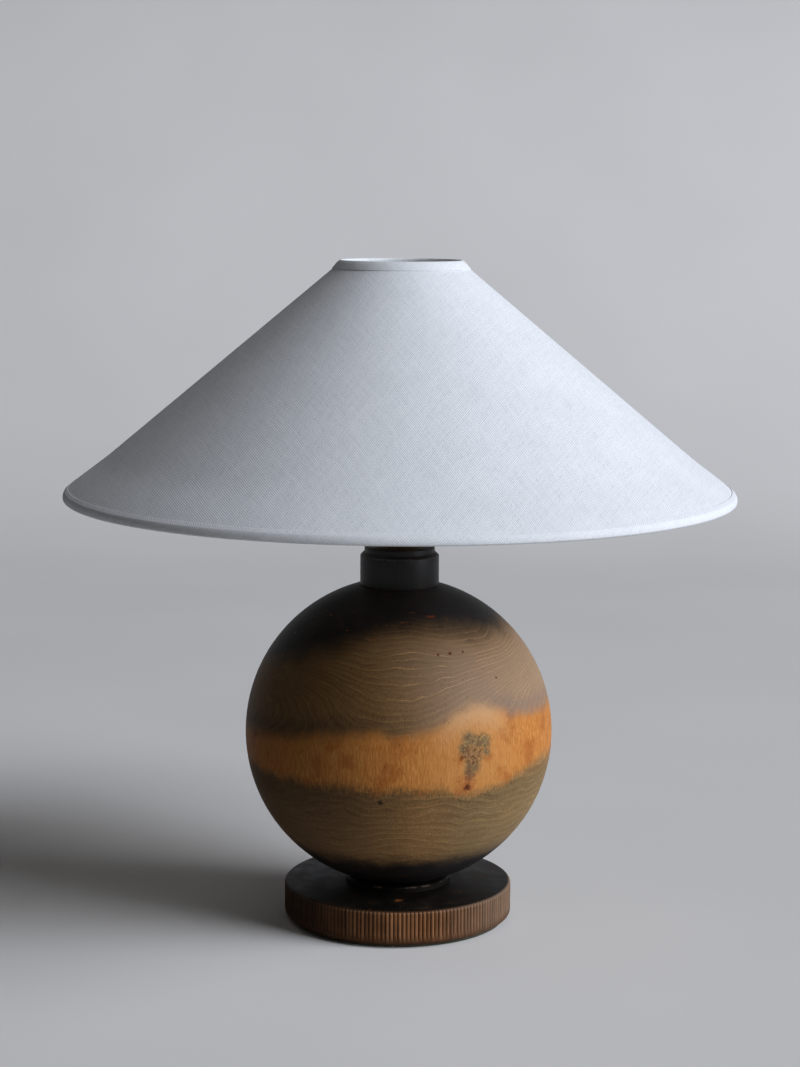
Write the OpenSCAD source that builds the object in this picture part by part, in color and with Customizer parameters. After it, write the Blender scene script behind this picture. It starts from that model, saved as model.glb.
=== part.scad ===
// Globe table lamp: a turned wooden globe on a reeded disc base, under a wide linen cone shade.
// Millimetres, +Z up. The origin is on the table, in the middle of the felt's underside; the front faces -Y.

/* [Base] */
// Diameter of the disc over its reeds
base_d = 138.6; // [120:0.2:170]
// Height of the disc, without the felt and the step
base_h = 21.2; // [20:0.1:36]
// Number of reeds round the edge
reed_count = 176; // [80:1:200]
// Depth of the groove between two reeds
reed_depth = 0.7; // [0.3:0.05:1]
// Plain bevel above the reeds
base_top_bevel = 0.8; // [0.4:0.1:2]
// Plain bevel below the reeds
base_foot_bevel = 2; // [0.5:0.1:3]
// Diameter of the low turned step that carries the globe
step_d = 64; // [54:1:90]
// Height of that step
step_h = 3.3; // [2:0.1:8]
// Bevel round the step's top
step_bevel = 0.8; // [0.2:0.1:1.5]
// Diameter of the recess under the disc
recess_d = 34; // [32:1:50]
// Depth of the recess
recess_h = 12; // [11:0.5:15]
// Thickness of the felt pad
felt_t = 1.5; // [1:0.1:3]
// Distance from the felt's edge to the disc's bevel
felt_inset = 1; // [0.2:0.1:10]

/* [Cord inlet] */
// Diameter of the bush's bore, which a cord passes through
cord_bore_d = 6.5; // [5:0.1:7]
// Wall of the bush
bush_wall = 1; // [0.8:0.1:1.5]
// Length of the bush inside the disc
bush_len = 14; // [8:1:24]
// Diameter of the bush's flange
bush_flange_d = 13; // [12:0.5:14]
// Thickness of the flange
bush_flange_t = 2; // [1.6:0.1:3]
// Depth of the flange's seat in the reeded edge
bush_seat_depth = 1.5; // [1.2:0.1:2]
// Height of the inlet above the felt
inlet_up = 8.5; // [8:0.1:11]

/* [Globe] */
// Diameter of the globe
globe_d = 186; // [150:1:230]
// Diameter of the flat turned on each pole
globe_flat_d = 47; // [40:0.5:47]

/* [Collar] */
// Diameter of the collar
collar_d = 47.5; // [46:0.5:60]
// Height of the collar up to its bevel
collar_h = 17.7; // [10:0.1:30]
// Bevel under the collar's ring
collar_bevel = 1.75; // [0.5:0.05:2]
// Small bevel at the collar's foot
collar_foot_bevel = 0.6; // [0.2:0.1:1]
// Diameter of the ring turned on the collar's top
collar_ring_d = 42.4; // [36:0.2:43]
// Height of that ring
collar_ring_h = 4; // [3:0.1:8]
// Rounding of the ring's upper edge
collar_ring_round = 1.3; // [0.5:0.1:2]

/* [Stem] */
// Diameter of the threaded tube through the lamp
rod_d = 10; // [9.6:0.1:10.6]
// Diameter of the tube's bore
rod_bore_d = 7; // [5:0.1:8]
// Length of tube below the bottom nut, and above the lampholder's floor
rod_tail = 2; // [0.5:0.1:2.5]
// Width across flats of the bottom nut
nut_af = 17; // [15:0.5:19]
// Height of the bottom nut
nut_h = 4.5; // [3:0.1:4.6]
// Diameter of the washer above the bottom nut
washer_d = 30; // [24:0.5:31]
// Thickness of that washer
washer_t = 1.6; // [1:0.1:2]
// Width across flats of the brass nut on the collar
top_nut_af = 14; // [13:0.5:18]
// Height of that nut
top_nut_h = 3; // [2:0.1:5]

/* [Lampholder] */
// Diameter of the lampholder's cap
cap_d = 39.6; // [39.4:0.1:44]
// Height of the cap up to its shoulder
cap_h = 28; // [27:0.1:36]
// Diameter of the cap's neck
neck_d = 18; // [16:0.5:20]
// Height of the neck
neck_h = 4; // [3.6:0.1:6]
// Thickness of the lampholder's sheet metal
holder_wall = 1.2; // [0.9:0.1:1.4]
// Height of the spigot inside the sleeve
spigot_h = 5; // [4:0.1:8]
// Diameter over the sleeve's thread
shell_d = 39.3; // [38.9:0.1:39.3]
// Height of the sleeve
shell_h = 44; // [42:0.5:50]
// Height of the rim's inward lip
shell_lip_h = 1.5; // [1:0.1:2]
// Diameter of the opening in the rim
shell_mouth_d = 30; // [28:0.5:32]
// Pitch of the sleeve's thread
shell_pitch = 2.5; // [2:0.25:3]
// Depth of the sleeve's thread
shell_thread_depth = 0.5; // [0.3:0.05:0.6]
// Height of the porcelain block above the spigot
block_h = 7; // [5:0.5:8]
// Thickness of the porcelain sleeve
liner_t = 2.8; // [2:0.1:3]
// Height of the threaded contact
screw_contact_h = 26; // [20:0.5:28]
// Thickness of the threaded contact
screw_contact_t = 0.7; // [0.5:0.1:0.9]
// Height of the centre contact above the block
centre_contact_h = 3.7; // [3:0.1:4.5]
// Diameter of the grub screw in the neck
grub_d = 3; // [2.5:0.1:3.2]
// Diameter of the terminal screws
terminal_d = 3; // [2.5:0.1:3.5]
// Distance between the terminal screws
terminal_spacing = 24.2; // [22:0.1:27]
// Diameter of a terminal screw's head
terminal_head_d = 5.2; // [4.5:0.1:6]
// Height of a terminal screw's head
terminal_head_h = 1.8; // [1:0.1:3]
// Diameter of the centre contact's rivet
rivet_d = 4; // [3:0.1:6]

/* [Switch] */
// Diameter of the switch's spindle
spindle_d = 4; // [3:0.1:5]
// Wall of the bush that the spindle turns in
switch_bush_wall = 1.4; // [1:0.1:1.8]
// Diameter of that bush's flange
switch_flange_d = 10.4; // [9:0.1:11]
// Thickness of that flange
switch_flange_t = 1.6; // [1:0.1:2.5]
// Diameter of the switch's rotor
rotor_d = 12; // [10:0.5:12]
// Length of the rotor
rotor_len = 16; // [10:1:18]
// Diameter of the turn knob
knob_d = 13; // [11:0.5:13]
// Length of the turn knob
knob_len = 14; // [10:0.5:18]
// Number of grips round the knob
knob_grips = 12; // [8:1:16]
// Length of solid knob beyond the spindle's end
knob_wall = 4; // [2:0.5:6]
// Thickness of the two contact leaves
leaf_t = 0.6; // [0.4:0.1:1]
// Width of a contact leaf
leaf_w = 8; // [4:0.5:10]
// Reach of a contact leaf below the spindle's axis
leaf_reach = 3; // [1:0.5:5]

/* [Shade fitting] */
// Diameter of the two shade rings
ring_d = 51; // [46:0.5:51]
// Height of a shade ring
ring_h = 6; // [4:0.5:7]
// Height of the lower ring above the sleeve's foot
ring_up = 6; // [5:0.5:12]
// Number of grips round a shade ring
ring_grips = 20; // [12:1:28]
// Inner diameter of the fitter ring
fitter_bore_d = 42; // [41:0.5:44]
// Outer diameter of the fitter ring
fitter_d = 60; // [58:0.5:64]
// Thickness of the fitter ring
fitter_t = 1.6; // [1.2:0.1:2.5]
// Diameter of the three fitter arms
arm_d = 2.8; // [2:0.1:2.8]
// Number of fitter arms
arm_count = 3; // [3:1:4]

/* [Shade] */
// Diameter over the shade's lower hem
shade_bottom_d = 400; // [320:1:480]
// Diameter over the shade's upper hem
shade_top_d = 77.8; // [74:0.2:120]
// Height of the shade over both hems
shade_h = 138.6; // [110:0.2:180]
// Height of the fitter ring above the lower hem
fitter_rise = 12; // [5:0.1:30]
// Thickness of the linen
linen_t = 0.6; // [0.4:0.05:0.8]
// Thickness of the stiff lining
lining_t = 0.6; // [0.4:0.05:0.8]
// Diameter of the upper wire ring
top_wire_d = 3; // [2.8:0.1:3.5]
// Diameter of the lower wire ring
bottom_wire_d = 3.6; // [2.8:0.1:4.5]
// Thickness of the binding tape
tape_t = 0.5; // [0.3:0.05:0.8]
// Width of the upper binding, from the wire's middle down the cone
top_tape_w = 5.2; // [4.6:0.1:15]
// Width of the lower binding, from the wire's middle up the cone
bottom_tape_w = 11; // [6:0.5:20]

/* [Bulb] */
// Diameter of the glass
bulb_d = 45; // [40:0.5:46]
// Length of the bulb from its tip to its top
bulb_len = 75.5; // [72:0.5:82]
// Thickness of the glass
glass_t = 0.8; // [0.5:0.1:1.2]
// Diameter over the screw cap's thread
screw_d = 26.2; // [25:0.1:26.4]
// Pitch of that thread
screw_pitch = 3.63; // [3:0.01:4]
// Depth of that thread
screw_depth = 0.9; // [0.5:0.05:1]
// Number of thread turns on the cap
screw_turns = 5; // [4:1:5]
// Thickness of the screw cap's metal
screw_t = 0.6; // [0.3:0.05:0.8]
// Height of the plain band above the thread
screw_skirt = 2.4; // [1:0.1:4]
// Diameter of the contact on the bulb's end
tip_d = 9.2; // [7:0.1:11]
// Height of that contact
tip_h = 1.6; // [1:0.1:2.2]
// Height of the insulator between the contact and the screw cap
insulator_h = 4; // [3:0.1:5]
// Height of the insulator inside the screw cap
insulator_plug = 1.9; // [1:0.1:4]
// Length of the glass neck inside the screw cap
neck_sunk = 14; // [8:0.5:14]
// Diameter of the glass stem
stem_d = 6; // [4:0.2:8]
// Length of the stem past the glass's neck
stem_rise = 4; // [0:0.5:8]
// Diameter of a filament
filament_d = 1.8; // [1:0.1:2.4]
// Length of a filament
filament_len = 26; // [18:0.5:28]
// Diameter of the ring on which the filaments stand
filament_ring_d = 16; // [12:0.5:20]

/* [Clearances] */
// Gap round a press fit, a nut's thread or a glued face
close_gap = 0.05; // [0.02:0.01:0.1]
// Gap round the tube in the drilled wood
drill_gap = 0.4; // [0.2:0.05:0.6]
// Gap between pieces that turn past each other
turn_gap = 0.2; // [0.15:0.05:0.4]
// Gap between the bulb's thread and its contact
screw_gap = 0.35; // [0.25:0.05:0.6]

/* [Hidden] */
$fn = 96;
// Room added to a cutting tool so that it passes right through
through = 1;

// Levels of the wooden stack
base_r = base_d / 2;
base_core_r = base_r - reed_depth - close_gap;
base_top_z = felt_t + base_h;
step_top_z = base_top_z + step_h;
recess_top_z = felt_t + recess_h;
globe_r = globe_d / 2;
globe_half = sqrt(globe_r * globe_r - globe_flat_d * globe_flat_d / 4);
globe_z = step_top_z + globe_half;
collar_z = globe_z + globe_half;
collar_ring_z = collar_z + collar_h + collar_bevel;
collar_top_z = collar_ring_z + collar_ring_h;

// The cord inlet at the back of the base
inlet_z = felt_t + inlet_up;
bush_r = cord_bore_d / 2 + bush_wall;
bush_seat_y = base_r - bush_seat_depth;

// The tube and its nuts
rod_r = rod_d / 2;
rod_bore_r = rod_bore_d / 2;
thread_hole_r = rod_r + close_gap;
drill_r = rod_r + drill_gap;
washer_z = recess_top_z - washer_t;
nut_z = washer_z - nut_h;
rod_bottom_z = nut_z - rod_tail;

// Levels and radii of the lampholder
holder_z = collar_top_z + top_nut_h;
neck_r = neck_d / 2;
cap_r = cap_d / 2;
bowl_r = cap_r - neck_r;
bowl_top_z = holder_z + neck_h + bowl_r;
shoulder_z = holder_z + cap_h;
shell_r = shell_d / 2;
shell_bore_r = shell_r - holder_wall;
shell_top_z = shoulder_z + shell_h;
spigot_r = shell_bore_r - close_gap;
spigot_bore_r = spigot_r - holder_wall;
rod_top_z = holder_z + neck_h + holder_wall + rod_tail;
block_foot_z = shoulder_z + turn_gap;
block_seat_z = shoulder_z + spigot_h;
block_top_z = block_seat_z + block_h;
liner_r = shell_bore_r - turn_gap;
liner_bore_r = liner_r - liner_t;
screw_contact_r = screw_d / 2 + screw_gap;

// The switch, across the middle of the cap's straight wall
switch_z = (bowl_top_z + shoulder_z) / 2;
spindle_r = spindle_d / 2;
spindle_bore_r = spindle_r + close_gap;
switch_bush_r = spindle_bore_r + switch_bush_wall;
rotor_r = rotor_d / 2;
rotor_end_x = rotor_len / 2;
switch_flange_x = cap_r + close_gap;
knob_x = switch_flange_x + switch_flange_t + turn_gap;
knob_hole = knob_len - knob_wall;
leaf_y = rotor_r + turn_gap;

// The shade rings, the fitter and the shade's two wire rings
lower_ring_z = shoulder_z + ring_up;
ring_bore_r = shell_r + turn_gap;
fitter_z = lower_ring_z + ring_h + turn_gap;
upper_ring_z = fitter_z + fitter_t + turn_gap;
arm_foot_r = fitter_d / 2 - arm_d / 2;
weld_depth = fitter_t / 2;
shade_z = fitter_z - fitter_rise;
top_wire_r = top_wire_d / 2;
bottom_wire_r = bottom_wire_d / 2;
top_wire = [shade_top_d / 2 - tape_t - top_wire_r, shade_z + shade_h - tape_t - top_wire_r];
bottom_wire = [shade_bottom_d / 2 - tape_t - bottom_wire_r, shade_z + tape_t + bottom_wire_r];
cone_run = bottom_wire - top_wire;
cone_len = norm(cone_run);
cone_angle = atan2(cone_run[1], cone_run[0]);
// The cone's sheets stop short of the wires, where the tape's two layers meet
sheet_start = top_wire_r + arm_d / 2;
sheet_end = cone_len - bottom_wire_d;

// Levels of the bulb, from its tip
bulb_z = block_top_z + centre_contact_h + turn_gap;
bulb_r = bulb_d / 2;
tip_r = tip_d / 2;
cap_foot = tip_h + insulator_h;
cap_top = cap_foot + screw_turns * screw_pitch + screw_skirt;
screw_root_r = screw_d / 2 - screw_depth;
cap_bore_r = screw_root_r - screw_t;
glass_neck_r = cap_bore_r - turn_gap;
glass_foot = cap_top - neck_sunk;
globe_mid = bulb_len - bulb_r;
flare_top = globe_mid - bulb_r * 0.75;
flare_r = sqrt(bulb_r * bulb_r - pow(globe_mid - flare_top, 2));
stem_r = stem_d / 2;
stem_top = flare_top + stem_rise;
filament_r = filament_d / 2;

// Points along an arc, from angle a0 to a1, in the r-z plane
function arc(centre, r, a0, a1, steps) =
    [for (i = [0:steps]) let (a = a0 + (a1 - a0) * i / steps) centre + r * [cos(a), sin(a)]];

// Outline of the reeded edge: each reed is a share of the pitch and a drop from the outer radius
reed_form = [[0, reed_depth], [0.22, reed_depth * 0.25], [0.5, 0], [0.78, reed_depth * 0.25]];
function reeded_outline() =
    [for (k = [0:reed_count - 1]) for (p = reed_form)
        let (a = 360 * (k + p[0]) / reed_count) (base_r - p[1]) * [cos(a), sin(a)]];

// A tube standing on z
module tube(z, h, r, bore_r) {
    translate([0, 0, z]) difference() {
        cylinder(r = r, h = h);
        translate([0, 0, -through]) cylinder(r = bore_r, h = h + 2 * through);
    }
}

// A hexagon nut standing on z
module hex_nut(z, h, across_flats, bore_r) {
    translate([0, 0, z]) difference() {
        cylinder(r = across_flats / 2 / cos(30), h = h, $fn = 6);
        translate([0, 0, -through]) cylinder(r = bore_r, h = h + 2 * through);
    }
}

// A shaft along +X on the switch's axis
module switch_rod(x, len, r) {
    translate([x, 0, switch_z]) rotate([0, 90, 0]) cylinder(r = r, h = len);
}

// Places its children round the lamp's axis
module around(count) {
    for (k = [0:count - 1]) rotate([0, 0, 90 + 360 * k / count]) children();
}

// Felt pad under the base
module base_felt() {
    color("darkolivegreen")
        cylinder(r = base_core_r - base_foot_bevel - felt_inset, h = felt_t);
}

// Turned disc with its reeded edge, step, recess and cord channel
module base_disc() {
    step_r = step_d / 2;
    reed_h = base_h - base_top_bevel - base_foot_bevel;
    profile = [
        [0, felt_t], [base_core_r - base_foot_bevel, felt_t], [base_core_r, felt_t + base_foot_bevel],
        [base_core_r, base_top_z - base_top_bevel], [base_core_r - base_top_bevel, base_top_z],
        [step_r, base_top_z], [step_r, step_top_z - step_bevel], [step_r - step_bevel, step_top_z],
        [0, step_top_z]
    ];
    color("saddlebrown") difference() {
        union() {
            rotate_extrude() polygon(profile);
            translate([0, 0, felt_t + base_foot_bevel]) linear_extrude(height = reed_h)
                polygon(reeded_outline());
        }
        cylinder(r = drill_r, h = step_top_z + through);
        cylinder(r = recess_d / 2, h = recess_top_z);
        translate([0, 0, inlet_z]) rotate([-90, 0, 0]) cylinder(r = bush_r + close_gap, h = base_d);
        translate([0, bush_seat_y, inlet_z]) rotate([-90, 0, 0])
            cylinder(r = bush_flange_d / 2 + turn_gap, h = bush_flange_t + through);
    }
}

// Flanged bush that lines the cord channel's mouth
module cord_bush() {
    color("black") translate([0, bush_seat_y, inlet_z]) rotate([-90, 0, 0]) difference() {
        union() {
            translate([0, 0, -bush_len]) cylinder(r = bush_r, h = bush_len + bush_flange_t);
            cylinder(r = bush_flange_d / 2, h = bush_flange_t);
        }
        translate([0, 0, -bush_len - through])
            cylinder(r = cord_bore_d / 2, h = bush_len + bush_flange_t + 2 * through);
    }
}

// Washer against the recess's ceiling
module base_washer() {
    color("silver") tube(washer_z, washer_t, washer_d / 2, thread_hole_r);
}

// Nut that draws the whole stack together
module base_nut() {
    color("silver") hex_nut(nut_z, nut_h, nut_af, thread_hole_r);
}

// Hollow threaded tube from the base to the lampholder
module threaded_tube() {
    color("goldenrod") tube(rod_bottom_z, rod_top_z - rod_bottom_z, rod_r, rod_bore_r);
}

// Turned globe with a flat at each pole and a drilled axis
module globe() {
    color("peru") difference() {
        intersection() {
            translate([0, 0, globe_z]) sphere(r = globe_r);
            translate([-globe_r, -globe_r, step_top_z]) cube([globe_d, globe_d, 2 * globe_half]);
        }
        cylinder(r = drill_r, h = collar_z + through);
    }
}

// Turned collar with a bevel and a smaller ring on top
module collar() {
    collar_r = collar_d / 2;
    ring_r = collar_ring_d / 2;
    profile = concat(
        [
            [drill_r, collar_z], [collar_r - collar_foot_bevel, collar_z],
            [collar_r, collar_z + collar_foot_bevel], [collar_r, collar_z + collar_h],
            [collar_r - collar_bevel, collar_ring_z], [ring_r, collar_ring_z]
        ],
        arc([ring_r - collar_ring_round, collar_top_z - collar_ring_round], collar_ring_round, 0, 90, 6),
        [[drill_r, collar_top_z]]
    );
    color("#1d1b19") rotate_extrude() polygon(profile);
}

// Brass nut that clamps the collar
module collar_nut() {
    color("goldenrod") hex_nut(collar_top_z, top_nut_h, top_nut_af, thread_hole_r);
}

// Bowl-shaped cap of the lampholder, with its neck, shoulder and spigot
module holder_cap() {
    inner_bowl_r = bowl_r - holder_wall;
    profile = concat(
        [[thread_hole_r, holder_z], [neck_r, holder_z]],
        arc([neck_r, bowl_top_z], bowl_r, -90, 0, 12),
        [
            [cap_r, shoulder_z], [spigot_r, shoulder_z], [spigot_r, block_seat_z],
            [spigot_bore_r, block_seat_z]
        ],
        arc([spigot_bore_r - inner_bowl_r, bowl_top_z], inner_bowl_r, 0, -90, 12),
        [[thread_hole_r, bowl_top_z - inner_bowl_r]]
    );
    color("goldenrod") difference() {
        rotate_extrude() polygon(profile);
        switch_rod(0, cap_r + through, switch_bush_r + close_gap);
        translate([0, 0, holder_z + neck_h / 2]) rotate([90, 0, 0])
            cylinder(r = grub_d / 2 + close_gap, h = neck_r + through);
    }
}

// Grub screw that locks the cap to the tube
module grub_screw() {
    color("silver") translate([0, -thread_hole_r, holder_z + neck_h / 2]) rotate([90, 0, 0])
        cylinder(r = grub_d / 2, h = neck_r - thread_hole_r - close_gap);
}

// Porcelain block that carries the contacts
module porcelain_block() {
    color("ivory") difference() {
        union() {
            translate([0, 0, block_foot_z])
                cylinder(r = spigot_bore_r - turn_gap, h = block_top_z - block_foot_z);
            translate([0, 0, block_seat_z]) cylinder(r = liner_r, h = block_h);
        }
        translate([0, 0, block_foot_z - through])
            cylinder(r = rivet_d / 2 + close_gap, h = block_top_z - block_foot_z + 2 * through);
        for (side = [-1, 1]) translate([0, side * terminal_spacing / 2, block_foot_z - through])
            cylinder(r = terminal_d / 2 + close_gap, h = spigot_h + block_h / 2 + through);
    }
}

// The two screws that clamp the wires under the block
module terminal_screws() {
    shank_h = spigot_h + block_h / 2 - 2 * turn_gap;
    color("gold") for (side = [-1, 1]) translate([0, side * terminal_spacing / 2, block_foot_z]) {
        cylinder(r = terminal_d / 2, h = shank_h);
        translate([0, 0, -terminal_head_h]) cylinder(r = terminal_head_d / 2, h = terminal_head_h);
    }
}

// Rivet and button that meet the bulb's tip
module centre_contact() {
    color("gold") {
        translate([0, 0, block_foot_z]) cylinder(r = rivet_d / 2, h = block_top_z - block_foot_z);
        translate([0, 0, block_top_z]) cylinder(r = tip_r - tip_h / 2, h = centre_contact_h);
    }
}

// Sleeve that takes the bulb's screw cap
module screw_contact() {
    color("gold")
        tube(block_top_z, screw_contact_h, screw_contact_r + screw_contact_t, screw_contact_r);
}

// Insulating sleeve between the contact and the metal
module porcelain_sleeve() {
    liner_h = shell_top_z - shell_lip_h - turn_gap - block_top_z;
    color("ivory") tube(block_top_z, liner_h, liner_r, liner_bore_r);
}

// Threaded metal sleeve with an inward lip at its mouth
module holder_sleeve() {
    root_r = shell_r - shell_thread_depth;
    thread_z = shoulder_z + shell_pitch;
    turns = floor((shell_h - shell_lip_h - 2 * shell_pitch) / shell_pitch);
    lip_z = shell_top_z - shell_lip_h;
    profile = concat(
        [[shell_bore_r, shoulder_z], [shell_r, shoulder_z]],
        [for (k = [0:turns - 1]) for (p = [[shell_r, 0], [root_r, 0.5]])
            [p[0], thread_z + (k + p[1]) * shell_pitch]],
        [
            [shell_r, thread_z + turns * shell_pitch], [shell_r, shell_top_z],
            [shell_mouth_d / 2, shell_top_z], [shell_mouth_d / 2, lip_z], [shell_bore_r, lip_z]
        ]
    );
    color("goldenrod") rotate_extrude() polygon(profile);
}

// Flanged bush in the cap's wall that the switch spindle turns in
module switch_bush() {
    tube_x = rotor_end_x + turn_gap;
    color("goldenrod") difference() {
        union() {
            switch_rod(tube_x, switch_flange_x + switch_flange_t - tube_x, switch_bush_r);
            switch_rod(switch_flange_x, switch_flange_t, switch_flange_d / 2);
        }
        switch_rod(0, switch_flange_x + switch_flange_t + through, spindle_bore_r);
    }
}

// Spindle from the rotor out to the knob
module switch_spindle() {
    color("silver") switch_rod(-rotor_end_x, rotor_end_x + knob_x + knob_hole - close_gap, spindle_r);
}

// Insulating drum that makes and breaks the circuit
module switch_rotor() {
    color("dimgray") difference() {
        switch_rod(-rotor_end_x, rotor_len, rotor_r);
        switch_rod(-rotor_end_x - through, rotor_len + 2 * through, spindle_bore_r);
    }
}

// Two sprung leaves on either side of the rotor
module switch_leaves() {
    leaf_foot_z = switch_z - leaf_reach;
    color("gold") for (side = [0, 180]) rotate([0, 0, side])
        translate([-leaf_w / 2, leaf_y, leaf_foot_z]) cube([leaf_w, leaf_t, block_foot_z - leaf_foot_z]);
}

// Turn knob with a gripped rim
module switch_knob() {
    knob_r = knob_d / 2;
    grip_r = PI * knob_r / knob_grips / 2;
    color("#2a211c") difference() {
        translate([knob_x, 0, switch_z]) rotate([0, 90, 0]) rotate_extrude() polygon(concat(
            [[0, 0], [knob_r - grip_r, 0], [knob_r, grip_r]],
            arc([knob_r - 2 * grip_r, knob_len - 2 * grip_r], 2 * grip_r, 0, 90, 6),
            [[0, knob_len]]
        ));
        switch_rod(knob_x - through, knob_hole + through, spindle_bore_r);
        for (k = [0:knob_grips - 1]) translate([0, 0, switch_z]) rotate([360 * k / knob_grips, 0, 0])
            translate([knob_x + 2 * grip_r, 0, knob_r + grip_r / 2]) rotate([0, 90, 0])
                cylinder(r = grip_r, h = knob_len);
    }
}

// A shade ring with a gripped rim
module shade_ring(z) {
    ring_r = ring_d / 2;
    grip_r = PI * ring_r / ring_grips / 2.6;
    edge = ring_h / 6;
    translate([0, 0, z]) difference() {
        rotate_extrude() polygon([
            [ring_bore_r, 0], [ring_r - edge, 0], [ring_r, edge], [ring_r, ring_h - edge],
            [ring_r - edge, ring_h], [ring_bore_r, ring_h]
        ]);
        around(ring_grips) translate([ring_r + grip_r * 0.55, 0, -through])
            cylinder(r = grip_r, h = ring_h + 2 * through);
    }
}

// Ring that the fitter rests on
module lower_shade_ring() {
    color("#2a211c") shade_ring(lower_ring_z);
}

// Ring that clamps the fitter from above
module upper_shade_ring() {
    color("#2a211c") shade_ring(upper_ring_z);
}

// Flat ring that the shade stands on
module fitter_ring() {
    color("whitesmoke") tube(fitter_z, fitter_t, fitter_d / 2, fitter_bore_d / 2);
}

// Straight rods from the fitter ring up to the upper wire ring
module arm_rods(r) {
    foot = [arm_foot_r, fitter_z + weld_depth];
    run = top_wire - foot;
    around(arm_count) translate([foot[0], 0, foot[1]]) rotate([0, atan2(run[0], run[1]), 0])
        cylinder(r = r, h = norm(run));
}

module fitter_arms() {
    color("whitesmoke") arm_rods(arm_d / 2);
}

module top_wire_ring() {
    color("whitesmoke") rotate_extrude() translate(top_wire) circle(r = top_wire_r);
}

module bottom_wire_ring() {
    color("whitesmoke") rotate_extrude() translate(bottom_wire) circle(r = bottom_wire_r);
}

// A strip along the cone, from s0 to s1 down its slope and from n0 to n1 outwards from its middle
module cone_strip(s0, s1, n0, n1) {
    translate(top_wire) rotate(cone_angle) translate([s0, n0]) square([s1 - s0, n1 - n0]);
}

// Stiff lining inside the linen
module shade_lining() {
    color("white") rotate_extrude() cone_strip(sheet_start, sheet_end, -lining_t, -close_gap / 2);
}

// Linen cone
module shade_linen() {
    color("aliceblue") rotate_extrude() cone_strip(sheet_start, sheet_end, close_gap / 2, linen_t);
}

// Section of a tape folded round a wire and over both faces of the cone, from s0 to s1
module tape_section(wire, wire_r, s0, s1) {
    difference() {
        union() {
            translate(wire) circle(r = wire_r + tape_t);
            cone_strip(s0, s1, -lining_t - tape_t, linen_t + tape_t);
        }
        translate(wire) circle(r = wire_r + close_gap);
        cone_strip(
            sheet_start - close_gap, sheet_end + close_gap, -lining_t - close_gap, linen_t + close_gap
        );
    }
}

// Binding tape round the upper wire ring, cut out for the arms
module top_binding() {
    color("white") difference() {
        rotate_extrude() tape_section(top_wire, top_wire_r, 0, top_tape_w);
        arm_rods(arm_d / 2 + turn_gap);
    }
}

// Binding tape round the lower wire ring
module bottom_binding() {
    color("white") rotate_extrude()
        tape_section(bottom_wire, bottom_wire_r, cone_len - bottom_tape_w, cone_len);
}

// Contact on the bulb's end
module bulb_tip() {
    color("silver") translate([0, 0, bulb_z]) cylinder(r1 = tip_r - tip_h / 2, r2 = tip_r, h = tip_h);
}

// Black glass between the tip and the screw cap
module bulb_insulator() {
    color("black") translate([0, 0, bulb_z]) {
        translate([0, 0, tip_h])
            cylinder(r1 = tip_r + tip_h, r2 = cap_bore_r - close_gap, h = cap_foot - tip_h);
        translate([0, 0, cap_foot]) cylinder(r = cap_bore_r - close_gap, h = insulator_plug);
    }
}

// Thin screw cap with its rounded thread
module bulb_screw_cap() {
    thread = [[0, 0], [0.2, 0.7], [0.4, 1], [0.6, 0.7], [0.8, 0]];
    profile = concat(
        [[cap_bore_r, cap_foot]],
        [for (k = [0:screw_turns - 1]) for (p = thread)
            [screw_root_r + p[1] * screw_depth, cap_foot + (k + p[0]) * screw_pitch]],
        [[screw_root_r, cap_foot + screw_turns * screw_pitch], [screw_root_r, cap_top], [cap_bore_r, cap_top]]
    );
    color("silver") translate([0, 0, bulb_z]) rotate_extrude() polygon(profile);
}

// Outer or inner form of the glass, drawn in by inset
module glass_form(inset) {
    translate([0, 0, globe_mid]) sphere(r = bulb_r - inset);
    translate([0, 0, cap_top])
        cylinder(r1 = glass_neck_r - inset, r2 = flare_r - inset, h = flare_top - cap_top);
    translate([0, 0, glass_foot]) cylinder(r = glass_neck_r - inset, h = cap_top - glass_foot + close_gap);
}

// Round glass with a neck inside the screw cap
module bulb_glass() {
    color("white") translate([0, 0, bulb_z]) difference() {
        glass_form(0);
        glass_form(glass_t);
    }
}

// Glass stem that carries the filaments
module bulb_stem() {
    flange_t = 2 * glass_t;
    color("white") translate([0, 0, bulb_z + glass_foot]) {
        cylinder(r = glass_neck_r - glass_t - close_gap, h = flange_t);
        cylinder(r = stem_r, h = stem_top - glass_foot);
    }
}

// Four upright filaments on short legs
module bulb_filament() {
    leg_z = stem_top - filament_d;
    ring_r = filament_ring_d / 2;
    color("gold") translate([0, 0, bulb_z + leg_z]) around(4) {
        translate([stem_r + close_gap, 0, 0]) rotate([0, 90, 0])
            cylinder(r = filament_r / 2, h = ring_r - stem_r);
        translate([ring_r, 0, -filament_r / 2]) cylinder(r = filament_r, h = filament_len);
    }
}

base_felt();
base_disc();
cord_bush();
base_washer();
base_nut();
threaded_tube();
globe();
collar();
collar_nut();
holder_cap();
grub_screw();
porcelain_block();
terminal_screws();
centre_contact();
screw_contact();
porcelain_sleeve();
holder_sleeve();
switch_bush();
switch_spindle();
switch_rotor();
switch_leaves();
switch_knob();
lower_shade_ring();
upper_shade_ring();
fitter_ring();
fitter_arms();
top_wire_ring();
bottom_wire_ring();
shade_lining();
shade_linen();
top_binding();
bottom_binding();
bulb_tip();
bulb_insulator();
bulb_screw_cap();
bulb_glass();
bulb_stem();
bulb_filament();
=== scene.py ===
import math

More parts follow.
